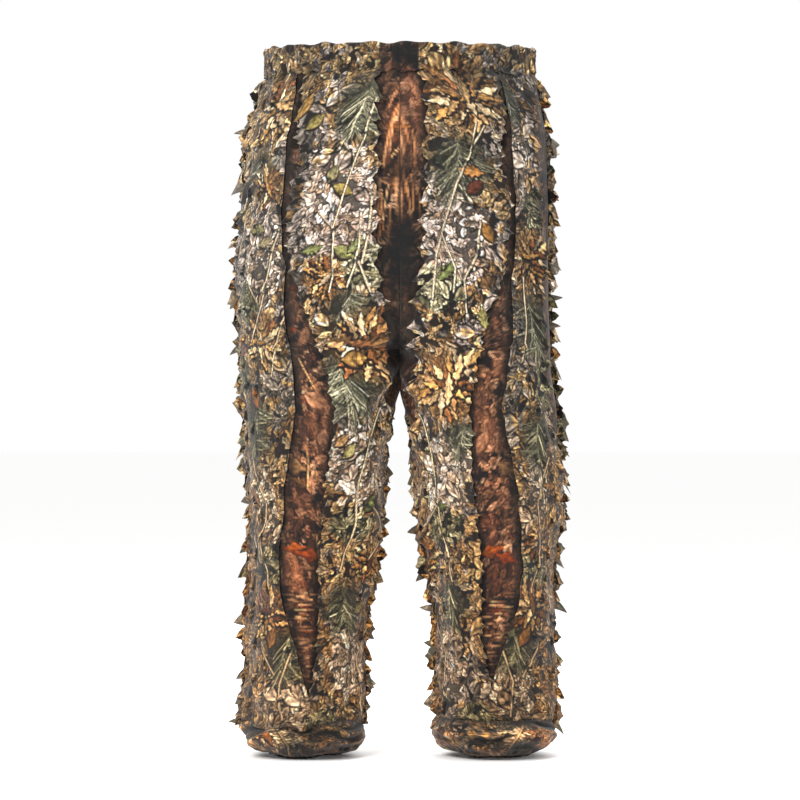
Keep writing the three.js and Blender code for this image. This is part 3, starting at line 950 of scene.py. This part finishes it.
# Puts the grid's points in their place and gives them the cloth's own map, print and material.
def dress(piece, points, along, level, color, material):
    mesh = piece.data
    mesh.vertices.foreach_set("co", points.astype(np.float32).ravel())
    corners = np.empty(len(mesh.loops), np.int32)
    mesh.loops.foreach_get("vertex_index", corners)
    while mesh.uv_layers:
        mesh.uv_layers.remove(mesh.uv_layers[0])
    uv = mesh.uv_layers.new(name="cloth")
    uv.data.foreach_set("uv", np.stack([along, level], axis=-1)[corners].astype(np.float32).ravel())
    paint = mesh.color_attributes.new(name="print", type="FLOAT_COLOR", domain="POINT")
    linear = np.where(color <= 0.04045, color / 12.92, ((color + 0.055) / 1.055) ** 2.4)
    rgba = np.concatenate([linear, np.ones((len(linear), 1))], axis=1)
    paint.data.foreach_set("color", rgba.astype(np.float32).ravel())
    mesh.materials.append(clothMaterials[material])
    mesh.polygons.foreach_set("use_smooth", np.ones(len(mesh.polygons), bool))
    mesh.update()


# Runs an operator on all of one piece in edit mode.
def editAll(piece, operator, **settings):
    bpy.ops.object.select_all(action="DESELECT")
    piece.select_set(True)
    bpy.context.view_layer.objects.active = piece
    bpy.ops.object.mode_set(mode="EDIT")
    bpy.ops.mesh.select_all(action="SELECT")
    operator(**settings)
    bpy.ops.object.mode_set(mode="OBJECT")


def closeRound(piece):
    editAll(piece, bpy.ops.mesh.remove_doubles, threshold=0.00005)


def faceOutwards(piece, outwards):
    mesh = piece.data
    normals = np.empty(len(mesh.polygons) * 3)
    mesh.polygons.foreach_get("normal", normals)
    corners = np.empty(len(mesh.loops), np.int32)
    mesh.loops.foreach_get("vertex_index", corners)
    starts = np.empty(len(mesh.polygons), np.int32)
    mesh.polygons.foreach_get("loop_start", starts)
    if (normals.reshape(-1, 3) * outwards[corners[starts]]).sum() < 0:
        editAll(piece, bpy.ops.mesh.flip_normals)


stretches = {  # cad and fold are the CAD nodes that a stretch stands for
    "upper": {
        "top": bandLevel + 0.002, "bottom": splitLevel,
        "cad": ["seat"], "fold": "hip_fold",
    },
    "lower": {
        "top": splitLevel, "bottom": cuffLevel - 0.001,
        "cad": ["thigh", "calf"], "fold": "knee_fold",
    },
}
bends = {  # x and level on the left side
    "upper": {"start": (0, -0.411), "end": (0.05, -0.551)},
    "lower": {"start": (0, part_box("left_knee_fold")[1].z), "end": (0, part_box("left_knee_fold")[0].z)},
}


def bend(piece, side, stretch):
    start, end = ((sides[side] * x, 0, z) for x, z in bends[stretch].values())
    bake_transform(piece)
    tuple(start)
    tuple(end)


def outwardsFrom(side, points):
    middle = sectionAt(points[:, 2])[0]
    return points - np.stack([sides[side] * middle, 0 * middle, points[:, 2]], axis=-1)


def flatSize(low, high, top, bottom):
    levels = np.linspace(bottom, top, 60)
    edge = lambda value: value(levels) if callable(value) else np.full(60, float(value))
    widths = abs(alongCloth(edge(high), levels) - alongCloth(edge(low), levels))
    length = top - bottom
    return (float(widths.max()), float(length)), float(widths.mean() * length)


# The share at a distance along the cloth from the side seam, the other way round of alongCloth.
def shareAt(along, level):
    whole = np.interp(level, arcLevels, arcs[:, -1])
    shares = np.clip(along / whole, 0.003, 0.995)
    for _ in range(4):
        shares = np.clip(shares - (alongCloth(shares, level) - along) / whole, 0.003, 0.995)
    return shares


# The pocket mouth is a slit in the front panel between the two strips.
def slitDepth(share, along, level):
    middle = alongCloth(np.full_like(level, -0.515), level)
    across = np.exp(-(((along - middle) / folds["slitWidth"]) ** 2))
    down = smooth(level, folds["slitBottom"] - 0.004, folds["slitBottom"] + 0.004)
    down = down * smooth(-level, -folds["slitTop"] - 0.004, -folds["slitTop"] + 0.004)
    return across * down * (share < 0)


strip = {
    "cell": 0.00135,
    "width": 0.114,  # sets the number of columns
    "droop": 1.0,  # how far a leaf tip hangs, as a share of its length
    "lift": 0.0048,
    "curl": 0.0060,
    "sewn": 0.0012,
    "hemShade": 0.5,
    "wander": 0.004,
    "bareSide": 0.054,  # how much bark shows beside the left front outer strip
    "ragged": 0.0070,
    "sewnHalf": 0.004,  # metres taken off each half width before the leaves are added
}
# How the edge by the side seam and the edge by the middle are cut.
stripCuts = {"outer": ("jagged", "straight"), "inner": ("lobed", "jagged")}


def measureStrip(faceName, column):
    table = {}
    for part in ("seat", "thigh", "calf"):
        for row in rowsOf(f"left_{part}_{faceName}_{column}_leaf_strip"):
            table[row[:, 2].mean()] = (row[:, 0].max(), row[:, 0].min())
    levels = np.array(sorted(table))
    return levels, np.array([table[z] for z in levels])


# Where a strip's edges are moved from the frame's: level, how far the edge by the side seam and
# the edge by the middle move towards the middle.
edgeMoves = {
    "outer": [(-0.03, 0.012, 0.002), (-0.13, 0.018, 0.004), (-0.20, 0.020, 0.006),
              (-0.33, 0.020, 0.006), (-0.42, 0.018, -0.006), (-0.60, 0.012, -0.010),
              (-0.74, 0.006, -0.010), (-0.85, 0.004, 0.008), (-0.93, 0.002, 0.020), (-1.0, 0, 0.020)],
    "inner": [(-0.03, -0.004, 0), (-0.10, -0.004, 0), (-0.16, 0.010, 0), (-0.21, -0.004, 0),
              (-0.32, -0.006, 0), (-0.38, 0.008, 0), (-0.48, 0.010, 0), (-0.60, 0.004, 0),
              (-0.74, 0.002, 0), (-0.85, 0.004, 0), (-0.93, -0.010, 0), (-1.0, -0.010, 0)],
}


def arcOfX(x, level):
    middle, halfWidth, depth, seam = sectionAt(level)
    turn = np.arccos(np.clip((x - middle) / halfWidth, -1, 1))
    return alongCloth(np.clip(turn / seam, 0, 1), level)


def stripLine(side, faceName, column, level):
    number = 100 + 10 * list(faces).index(faceName) + 3 * (column == "inner") + 50 * (side == "right")
    levels, edges = measureStrip(faceName, column)
    near, far = (arcOfX(np.interp(level, levels, x), level) for x in edges.T)
    moves = np.array(edgeMoves[column][::-1]).T
    near = near + np.interp(level, moves[0], moves[1])
    far = far + np.interp(level, moves[0], moves[2])
    if (side, faceName, column) == ("left", "front", "outer"):  # more bark shows beside this one
        near = near + strip["bareSide"] * smooth(-level, 0.02, 0.09) * smooth(level, -0.64, -0.46)
    wander = strip["wander"] * softNoise(level / 0.09 + 30, np.full_like(level, number * 0.37), number)
    return number, (near + far) / 2 + wander, (far - near) / 2 - strip["sewnHalf"]


panel = {
    "cell": 0.0024,
    "width": 0.36,  # sets the number of columns
    # strengths of the shade painted on the panels
    "slitShade": 0.75, "bandShadow": 0.6, "seamShade": 0.55, "sideShade": 0.6, "crotchShade": 0.68,
    "shadow": 0.6, "shadowReach": 0.0065,  # beside the strips
    "sideReach": 0.020, "bareSideReach": 0.060,
    "crotchReach": 0.085, "seamReach": 0.0022, "seamDepth": 0.0012, "bandReach": 0.010,
}


# The valleys of the gathers are darker near the waistband.
def gatherShade(side, along, level):
    below = np.maximum(bandLevel - level, 0)
    valley = np.clip(-gatherNoise(side, along, level), 0, 1)
    return 1 - 0.55 * valley * np.exp(-below / folds["gatherReach"])


# How far outside the nearest leaf strip a point of the panel lies.
def stripGap(side, faceName, along, level):
    gap = np.full_like(level, 1.0)
    for column in stripCuts:
        number, middle, half = stripLine(side, faceName, column, level)
        gap = np.minimum(gap, abs(abs(along) - middle) - half - 0.006)
    return np.maximum(gap, 0)


def makePanel(side, faceName, stretch):
    face = faces[faceName]
    top, bottom = stretches[stretch]["top"], stretches[stretch]["bottom"]
    columns, rows = int(panel["width"] / panel["cell"]), int((top - bottom) / panel["cell"])
    piece, p, q = addGrid(f"{side}_{stretch}_{faceName}_panel", columns, rows)
    level = bottom + (top - bottom) * q
    share = face * (1 - p if face < 0 else p)
    along = alongCloth(share, level)
    color = printAt(side, "bark", along, level)
    slit = slitDepth(share, along, level)
    # Painted shade: in the pocket slit, under the waistband, in the gathers' valleys, beside the strips,
    # along the side seam, towards the crotch and along the middle seam.
    bandShadow = np.exp(-np.maximum(bandLevel - level, 0) / panel["bandReach"])
    stripShadow = np.exp(-stripGap(side, faceName, along, level) / panel["shadowReach"])
    sideReach = panel["bareSideReach" if (side, faceName) == ("left", "front") else "sideReach"]
    crotchWay = np.hypot((1 - abs(share)) * 0.3, level - crotchLevel)
    middleSeam = np.exp(-(((1 - abs(share)) * wholeArc(level) / panel["seamReach"]) ** 2))
    shade = (1 - panel["slitShade"] * slit) * (1 - panel["bandShadow"] * bandShadow)
    shade = shade * gatherShade(side, along, level) * (1 - panel["shadow"] * stripShadow)
    shade = shade * (1 - panel["sideShade"] * np.exp(-((along / sideReach) ** 2)))
    shade = shade * (1 - panel["crotchShade"] * np.exp(-((crotchWay / panel["crotchReach"]) ** 2)))
    shade = shade * (1 - panel["seamShade"] * middleSeam)
    sunk = folds["slit"] * slit + panel["seamDepth"] * middleSeam
    points = onCloth(side, share, level, -sunk, 0.0)
    aboveCrotch = smooth(level, crotchLevel - 0.004, crotchLevel + 0.002)
    points[:, 0] *= 1 - smooth(abs(share), 0.97, 1.0) * aboveCrotch  # both halves meet in the middle
    dress(piece, points, along, level, color * shade[:, None], "bark")
    faceOutwards(piece, outwardsFrom(side, points))
    for name in stretches[stretch]["cad"]:
        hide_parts(f"{side}_{name}_{faceName}")
    if faceName == "front":
        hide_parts(f"{side}_{stretches[stretch]['fold']}")
    bend(piece, side, stretch)
    flat, area = flatSize(0, face, top, bottom)


for side in sides:
    for faceName in faces:
        for stretch in stretches:
            makePanel(side, faceName, stretch)
print("panels made")


# Leaf-cut edges
leafCuts = {
    name: dict(zip(("pitch", "width", "height", "lobed", "sharp"), values))
    for name, values in {
        # spacing and height in metres, width as a share of the spacing, how deep the notches between
        # a leaf's points are, and how pointed the leaf is
        "jagged": ((0.024, 0.042), 0.95, (0.009, 0.018), 0.28, 0.72),
        "lobed": ((0.026, 0.050), 1.0, (0.005, 0.013), 0.45, 0.5),
        "straight": ((0.030, 0.070), 0.9, (0.0010, 0.0042), 0.4, 0.6),
        "leaf": ((0.022, 0.038), 0.64, (0.009, 0.018), 0.05, 0.36),
        "thorn": ((0.030, 0.110), 0.24, (0.011, 0.022), 0.0, 0.6),
        "round": ((0.024, 0.050), 0.76, (0.007, 0.018), 0.12, 0.40),
        "small": ((0.020, 0.045), 0.40, (0.004, 0.011), 0.2, 0.8),
    }.items()
}


# The height of a leaf-cut edge at each level, and how much each leaf hangs.
def leafEdge(level, seed, cut):
    style = leafCuts[cut]
    rng = np.random.default_rng(seed)
    total, hang = np.zeros_like(level), np.zeros_like(level)
    z = waistLevel + 0.01
    while z > hemLevel - 0.05:
        pitch, height = rng.uniform(*style["pitch"]), rng.uniform(*style["height"])
        slope = rng.uniform(-0.25, 1.0)
        x = (level - (z - pitch / 2)) / (pitch * style["width"] / 2)
        points = 1 - abs(np.sin(x * math.pi * 1.5))
        lobes = 1 - style["lobed"] + style["lobed"] * points
        leaf = np.clip(1 - abs(x), 0, 1) ** style["sharp"] * lobes
        hang = np.where(height * leaf > total, slope, hang)
        total = np.maximum(total, height * leaf)
        z -= pitch
    return total, hang


def makeStrip(side, faceName, column, stretch):
    face = faces[faceName]
    top, bottom = stretches[stretch]["top"] - 0.001 * (stretch == "upper"), stretches[stretch]["bottom"]
    rows, columns = int((top - bottom) / strip["cell"]), int(strip["width"] / strip["cell"])
    piece, p, q = addGrid(f"{side}_{stretch}_{faceName}_{column}_leaf_strip", columns, rows)
    level = bottom + (top - bottom) * q
    t = 2 * p - 1  # from the side seam to the middle
    number, middle, half = stripLine(side, faceName, column, level)
    nearCut, farCut = stripCuts[column]
    nearJag, farJag = leafEdge(level, number, nearCut), leafEdge(level, number + 1, farCut)
    jag, hang = np.where(t < 0, nearJag, farJag)
    inside = smooth(bandLevel - level, 0, 0.018)  # the ends are held down flat
    if stretch == "lower":
        inside = inside * smooth(level, bottom, bottom + 0.012)
    flap, tip = smooth(abs(t), 0.30, 1.0), smooth(abs(t), 0.66, 1.0)
    across = middle + t * (half + jag * smooth(abs(t), 0.25, 1.0))
    share = shareAt(across, level)
    wave = softNoise(level / 0.024 + 5, t * 1.3 + number, number + 5)
    risen = strip["lift"] * flap * (0.5 + 0.5 * wave) + strip["curl"] * tip * jag / 0.012
    lift = strip["sewn"] + inside * risen
    lift = np.maximum(lift, 0.0008) - 0.0007 * np.exp(-((t / 0.05) ** 2))
    inner = smooth(1 - abs(t), 0.02, 0.16) * smooth(abs(t), 0.02, 0.12) * inside
    lift = lift + printAt(side, "rise", face * across, level)[:, 0] * inner
    ragged = strip["ragged"] * softNoise(across / 0.022 + 7, level * 0 + number, number + 7)
    ragged = ragged * smooth(-level, -cuffLevel - 0.02, -cuffLevel)
    hanging = strip["droop"] * hang * tip * jag * inside
    points = onCloth(side, face * share, level + ragged - hanging, lift)
    along = face * across
    color = printAt(side, "strip", along, level)
    # Painted shade under the waistband, in the gathers' valleys and at the hem; the print is also darker
    # along the sewn middle.
    bandShadow = np.exp(-np.maximum(bandLevel - level, 0) / 0.009)
    shade = 1 - 0.30 * np.exp(-((t / 0.022) ** 2)) - 0.4 * bandShadow
    shade = shade * gatherShade(side, along, level)
    shade = shade * (1 - strip["hemShade"] * np.exp(-abs(level - cuffLevel) / 0.006))
    fray = (smooth(abs(t), 0.975, 1.0) * 0.25)[:, None]
    color = color * shade[:, None] * (1 - fray) + 0.45 * fray
    dress(piece, points, along, level, color, "strip")
    faceOutwards(piece, outwardsFrom(side, points))
    for name in stretches[stretch]["cad"]:
        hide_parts(f"{side}_{name}_{faceName}_{column}_leaf_strip")
    bend(piece, side, stretch)


for side in sides:
    for faceName in faces:
        for column in stripCuts:
            for stretch in stretches:
                makeStrip(side, faceName, column, stretch)
print("leaf strips made")

# Leaf fringes that stand out of the side seams and inseams
# tilt is how far a row of leaves leans to the front (-) or back (+), reach scales its leaves, and shade
# is the painted light that brightens or darkens its print.
fringeRows = [
    {"cut": "leaf", "tilt": -0.8, "reach": 0.9, "shade": 1.05},
    {"cut": "leaf", "tilt": -0.3, "reach": 1.05, "shade": 1.1},
    {"cut": "round", "tilt": 0.1, "reach": 1.15, "shade": 1.0},
    {"cut": "thorn", "tilt": 0.25, "reach": 1.0, "shade": 0.75},
    {"cut": "leaf", "tilt": 0.9, "reach": 0.9, "shade": 0.9},
]
fringe = {"cell": 0.0013, "columns": 9, "sag": 0.75, "root": 0.0015, "band": 0.0035}
fringeRuns = {
    "side": {
        "upper": {"top": bandLevel - 0.004, "bottom": splitLevel, "cad": ["seat_side", "thigh_side"]},
        "lower": {"top": splitLevel, "bottom": cuffLevel - 0.004, "cad": ["calf_side"]},
    },
    "inseam": {
        "upper": {"top": crotchLevel - 0.070, "bottom": splitLevel, "cad": []},
        "lower": {"top": splitLevel, "bottom": cuffLevel - 0.004, "cad": ["calf_inseam"]},
    },
}


def makeFringe(side, seam, stretch, number):
    row, run = fringeRows[number], fringeRuns[seam][stretch]
    top, bottom = run["top"], run["bottom"]
    rows = int((top - bottom) / fringe["cell"])
    piece, p, q = addGrid(f"{side}_{stretch}_{seam}_leaf_fringe_{number}", fringe["columns"], rows)
    level = bottom + (top - bottom) * q
    seed = 300 + 20 * number + 7 * (seam == "inseam") + 3 * (side == "right")
    cut = "small" if seam == "inseam" and stretch == "upper" and row["cut"] == "thorn" else row["cut"]
    length, hang = leafEdge(level, seed, cut)
    length = length * row["reach"] + fringe["band"] * (1.9 if cut == "thorn" else 1)
    if seam == "inseam":
        grown = 0.55 + 0.4 * smooth(-level, 0.56, 0.72)
        length = length * grown * smooth(crotchLevel - level, 0.07, 0.12) + 0.001
    length = length * smooth(top - level, -0.002, 0.008)
    out = p * length
    turn = softNoise(level / 0.018 + 4, np.full_like(level, number * 1.7), seed + 1)
    turn = row["tilt"] + 0.35 * turn
    base = onCloth(side, 0.004 * row["tilt"] + (seam == "inseam"), level, -fringe["root"])
    outward = sides[side] * (1 if seam == "side" else -1)
    bow = 0.18 * out * out / 0.02 * np.sign(row["tilt"])
    x = base[:, 0] + outward * out * np.cos(turn)
    y = base[:, 1] + out * np.sin(turn) + bow
    z = base[:, 2] - fringe["sag"] * hang * out * out / 0.02 - 0.15 * hang * out
    points = np.stack([x, y, z], axis=-1)
    along = out + 0.02 + number * 0.031
    # Painted light: the print is brightened by the row's shade, more at the root than at the tip, to
    # offset the shade between the leaves.
    color = printAt(side, "strip", along, level) * row["shade"]
    color = color * (1.42 - 0.18 * p[:, None])
    dress(piece, points, along, level, color, "fringe")
    towards = 1 if row["tilt"] > 0 else -1
    faceOutwards(piece, np.tile([0, towards, 0], (len(points), 1)))
    if number == 0:
        for name in run["cad"]:
            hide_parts(f"{side}_{name}_leaf_fringe")
    bend(piece, side, stretch)


for side in sides:
    for seam in fringeRuns:
        for stretch in stretches:
            for number in range(len(fringeRows)):
                makeFringe(side, seam, stretch, number)
print("leaf fringes made")

# Waistband: a gathered casing with elastic inside
band = {
    "cell": 0.0014,
    "gather": 0.0048,
    "folds": 62,  # gathers round the waist
    "lean": 150,
    "ragged": 0.0042,  # how far the gathers pull the lower edge up and down
    "ease": 1.25,  # flat length over gathered length
}


def bandPoint(side, share, level, offset):
    middle, halfWidth, depth, seam = sectionAt(np.minimum(level, bandLevel))
    turn = share * seam
    x = middle + (halfWidth + offset) * np.cos(turn)
    return np.stack([sides[side] * np.maximum(x, 0), (depth + offset) * np.sin(turn), level], axis=-1)


# p runs once round the waist from the front middle: left side first, then the right side.
def roundWaist(p, level, offset):
    left = p <= 0.5
    share = np.where(left, 4 * p - 1, 3 - 4 * p)
    halves = (bandPoint(side, share, level, offset) for side in ("left", "right"))
    return np.where(left[:, None], *halves), share, left


def gatherAt(p, level):
    turn = 2 * math.pi * p
    drift = 2.4 * np.sin(5 * turn + 1) + 1.7 * np.sin(11 * turn + 2.2) + 0.8 * np.sin(23 * turn)
    phase = band["folds"] / 2 * turn + drift + band["lean"] * level * np.sin(7 * turn + 0.6)
    ridge = 1 - abs(np.sin(phase)) ** 0.8
    fine = np.sin(131 * turn + 3 * np.sin(9 * turn) + 40 * level)
    return ridge * (0.62 + 0.38 * np.sin(3 * turn + 1.3) * np.sin(8 * turn + 0.4)) + 0.08 * fine


def bandPrint(side, along, level):
    rim = np.full_like(level, bandLevel)
    gaps = (stripGap(side, faceName, along, rim) for faceName in ("front", "back"))
    gaps = np.where(along < 0, *gaps)
    bare = smooth(gaps, 0, 0.003)[:, None]
    strips, ground = (printAt(side, kind, along, level) for kind in ("strip", "bark"))
    return strips * (1 - bare) + ground * bare


def makeBandLayer(name, cadNode, profile, material, slotName, shade, gather, rows):
    columns = int(1.0 / band["cell"])
    piece, p, q = addGrid(name, columns, rows)
    spots, levels, offsets = np.array(profile).T
    level, offset = np.interp(q, spots, levels), np.interp(q, spots, offsets)
    bottomRim = bandLevel - 0.002
    wave = 0.0012 * np.sin(2 * math.pi * 19 * p) + 0.0010 * np.sin(2 * math.pi * 31 * p + 1)
    level = level + wave * smooth(level, bottomRim, waistLevel)
    folded = gatherAt(p, level)
    pulled = np.sin(2 * math.pi * 23 * p + 2 * np.sin(2 * math.pi * 5 * p))
    pulled = 0.5 + 0.5 * (pulled + 0.7 * np.sin(2 * math.pi * 57 * p + 1))
    level = level - band["ragged"] * pulled * smooth(-level, -bandMiddle, -bottomRim)
    pinch = 0.55 + 0.45 * smooth(abs(level - bandMiddle), 0.004, 0.016)
    points, share, left = roundWaist(p, level, offset + gather * band["gather"] * folded * pinch)
    along = alongCloth(share, level)
    color = np.where(left[:, None], *(bandPrint(side, along, level) for side in ("left", "right")))
    # Painted shade in the gathers' valleys and painted light on their ridges, scaled by the layer's
    # shade.
    color = color * (shade * (0.50 + 0.62 * np.clip(folded, 0, 1)))[:, None]
    dress(piece, points, along + 0.5 * ~left, level, color, material)
    inwards = -1 if offset.mean() < 0 else 1
    faceOutwards(piece, inwards * points * np.array([1, 1, 0]))
    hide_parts(cadNode)
    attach(piece, "seat")
    closeRound(piece)
    length = 4 * float(alongCloth(np.array([1.0]), np.array([bandLevel]))[0])


outerProfile = [  # place along the cloth, level, offset
    (0.00, bandLevel - 0.0020, -0.0020),
    (0.08, bandLevel - 0.0020, 0.0010),
    (0.20, bandLevel + 0.0040, 0.0028),
    (0.50, bandMiddle, 0.0034),
    (0.82, waistLevel - 0.0050, 0.0032),
    (0.93, waistLevel + 0.0002, 0.0012),
    (1.00, waistLevel - 0.0008, -0.0020),
]
innerProfile = [
    (0.00, bandLevel - 0.0010, -0.0062),
    (0.50, bandMiddle, -0.0070),
    (0.90, waistLevel - 0.0028, -0.0056),
    (1.00, waistLevel - 0.0008, -0.0022),
]
elasticProfile = [(0.0, bandLevel + 0.004, -0.0022), (1.0, waistLevel - 0.005, -0.0022)]
bandLayers = [  # piece, CAD node, profile, material, slot, painted shade, share of the gathers, rows
    ("waistband_outer_cloth", "waistband_outer", outerProfile, "bark", "printed_cloth", 1.25, 1.0, 34),
    ("waistband_inner_cloth", "waistband_inner", innerProfile, "lining", "lining", 0.9, 0.5, 22),
    ("waist_elastic_band", "waist_elastic", elasticProfile, "elastic", "elastic", 1.0, 0.25, 14),
]
for layer in bandLayers:
    makeBandLayer(*layer)
print("waistband made")

# Cuffs: the leg end blouses over an elastic
cuff = {
    "columns": 340,
    "rows": 72,
    "wrinkle": 0.0062,
    "gather": 0.0034,
    "warmth": (1.04, 0.98, 0.88),
    "printTop": -0.60,  # the level of the print that the cuff is cut from
    "legWidth": 0.083,
    "ease": (1.3, 1.1),
}
cuffProfile = [  # place along the cloth, drop below the cuff's top, share of the leg's width
    (0.00, -0.008, 0.990), (0.10, 0.000, 1.100), (0.26, 0.008, 1.165), (0.44, 0.020, 1.150),
    (0.58, 0.031, 1.050), (0.70, 0.039, 0.890), (0.82, 0.043, 0.715), (0.92, 0.041, 0.640),
    (1.00, 0.032, 0.630),
]


def roundLeg(side, p, drop, width, offset):
    middle, halfWidth, depth, seam = sectionAt(np.full_like(p, cuffLevel + 0.004))
    turn = (2 * p - 1) * math.pi
    x = middle + (halfWidth * width + offset) * np.cos(turn)
    y = (depth * width + offset) * np.sin(turn)
    return np.stack([sides[side] * x, y, cuffLevel - drop], axis=-1)


def makeCuffLayer(side, name, cadNode, profile, material, rows, wrinkle, gather, shade):
    piece, p, q = addGrid(f"{side}_{name}", cuff["columns"], rows)
    spots, drops, widths = np.array(profile).T
    drop, width = np.interp(q, spots, drops), np.interp(q, spots, widths)
    turn = 2 * math.pi * p
    seed = 500 + (side == "right")
    around, other = np.cos(turn), np.sin(turn)
    slant = 0.006 * np.sin(3 * turn + 1) + 0.003 * np.sin(7 * turn)
    twist = softNoise(around * 2.6 + 30, other * 2.6 + (drop + slant) / 0.0070 + 60, seed)
    broad = softNoise(around * 1.4 + 30, other * 1.4 + drop / 0.020 + 20, seed + 1)
    pleats = np.sin(36 * turn + 3 * np.sin(4 * turn) + 2 * np.sin(7 * turn + side.count("r")))
    rim = smooth(q, 0.5, 0.9)
    top = smooth(q, 0.0, 0.14)
    offset = wrinkle * top * (0.9 * twist + 0.8 * broad) * (1 - 0.6 * rim) + gather * rim * pleats
    droop = drop + 0.0030 * top * softNoise(around * 1.8 + 10, other * 1.8 + drop / 0.02 + 40, seed + 2)
    points = roundLeg(side, p, droop, width, offset)
    along = (p - 0.5) * 0.5
    place = cuff["printTop"] - 0.10 * q - 0.008 * broad
    color = printAt(side, "strip", along + 0.02, place)
    rust = printAt(side, "bark", along, place)
    rusty = softNoise(around * 2 + 9, other * 2 + drop / 0.02 + 9, seed + 3)
    rusty = 0.35 * smooth(rusty, -0.1, 0.4)[:, None]
    color = ((1 - rusty) * color + rusty * rust) * cuff["warmth"]
    # Painted shade in the wrinkles' valleys, in the fold at the cuff's top and towards its lower rim.
    valley = 0.74 + 0.62 * np.clip(0.9 * twist + 0.6 * broad, -1, 1)
    fold = 1 - 0.55 * np.exp(-np.maximum(drop + 0.004, 0) / 0.004)
    color = color * (shade * valley * fold * (1 - 0.5 * rim))[:, None]
    dress(piece, points, along, cuffLevel - q * 0.09, color, material)
    faceOutwards(piece, outwardsFrom(side, points))
    closeRound(piece)
    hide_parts(f"{side}_{cadNode}")
    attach(piece, f"{side}_calf")
    middle, halfWidth, depth, seam = sectionAt(np.array([cuffLevel]))
    around, along = cuff["ease"]


cuffElasticProfile = [(0.0, 0.0345, 0.645), (1.0, 0.0455, 0.655)]
for side in sides:
    makeCuffLayer(side, "cuff_cloth", "cuff", cuffProfile, "bark", cuff["rows"],
                  cuff["wrinkle"], cuff["gather"], 1.35)
    makeCuffLayer(side, "cuff_elastic_band", "cuff_elastic", cuffElasticProfile, "elastic",
                  8, 0, 0.0015, 1)
print("cuffs made")

# Pocket bags, hanging inside behind the slits
# It hangs between two shares of the way from the side seam to the middle, behind the panel.
pocket = {"cell": 0.003, "plump": 0.0045, "near": 0.30, "across": 0.32, "behind": 0.0125}


def makePocketBag(side):
    low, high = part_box(f"{side}_pocket_bag")
    width, height = abs(high.x - low.x), high.z - low.z
    columns, rows = int(2 * width / pocket["cell"]), int(height / pocket["cell"])
    piece, p, q = addGrid(f"{side}_pocket_bag_cloth", columns, rows)
    level = low.z + height * q
    turn = 2 * math.pi * p
    across = 0.5 - 0.5 * np.cos(turn)
    plump = np.sin(turn) * pocket["plump"] * smooth(q, 0.0, 0.12) * (0.7 + 0.3 * (1 - q))
    share = -(pocket["near"] + pocket["across"] * across)
    sag = -0.006 * (1 - q) * np.sin(math.pi * across)
    ripple = 0.0012 * softNoise(across * 6 + 4, level / 0.03 + 40, 77)
    points = onCloth(side, share, level + sag, plump + ripple - pocket["behind"])
    along = alongCloth(share, level)
    color = np.full((len(p), 3), 1.0) * tint("4a4338")
    dress(piece, points, along + 0.2 * (p > 0.5), level, color, "lining")
    faceOutwards(piece, np.sign(np.sin(turn))[:, None] * outwardsFrom(side, points))
    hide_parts(f"{side}_pocket_bag")
    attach(piece, "seat")
    edges = alongCloth(np.array([share.min(), share.max()]), np.array([low.z, low.z]))


for side in sides:
    makePocketBag(side)
print("pocket bags made")

# Sewing thread along the strips
stitch = {"length": 0.0026, "pitch": 0.0038, "thick": 0.0006}


def makeStitches(side, faceName, stretch):
    face = faces[faceName]
    top, bottom = stretches[stretch]["top"] - 0.004, stretches[stretch]["bottom"] + 0.004
    levels = np.arange(bottom, top, stitch["pitch"])
    bpy.ops.object.select_all(action="DESELECT")
    bpy.ops.mesh.primitive_uv_sphere_add(segments=6, ring_count=4, radius=0.5)
    piece = bpy.context.object
    shape = np.array([tuple(v.co) for v in piece.data.vertices])
    shape = shape * (stitch["thick"], stitch["thick"], stitch["length"])
    faceList = [tuple(f.vertices) for f in piece.data.polygons]
    placed, facesAll = [], []
    for column in stripCuts:
        number, middle, half = stripLine(side, faceName, column, levels)
        spots = onCloth(side, face * shareAt(middle, levels), levels, strip["sewn"] + 0.0001)
        for spot in spots:
            facesAll += [tuple(i + len(placed) * len(shape) for i in f) for f in faceList]
            placed.append(shape + spot)
    mesh = bpy.data.meshes.new(f"{side}_{stretch}_{faceName}_stitches")
    mesh.from_pydata(np.concatenate(placed).tolist(), [], facesAll)
    piece.data = mesh
    piece.name = mesh.name
    mesh.materials.append(threadMaterial)
    mesh.polygons.foreach_set("use_smooth", np.ones(len(mesh.polygons), bool))
    bend(piece, side, stretch)


for side in sides:
    for faceName in faces:
        for stretch in stretches:
            makeStitches(side, faceName, stretch)
print("stitches made")

makeFloor()
print("floor laid under the cuffs")

boxes = {"cad": cadBox, "visual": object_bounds()}
{name: [list(corner) for corner in box] for name, box in boxes.items()}
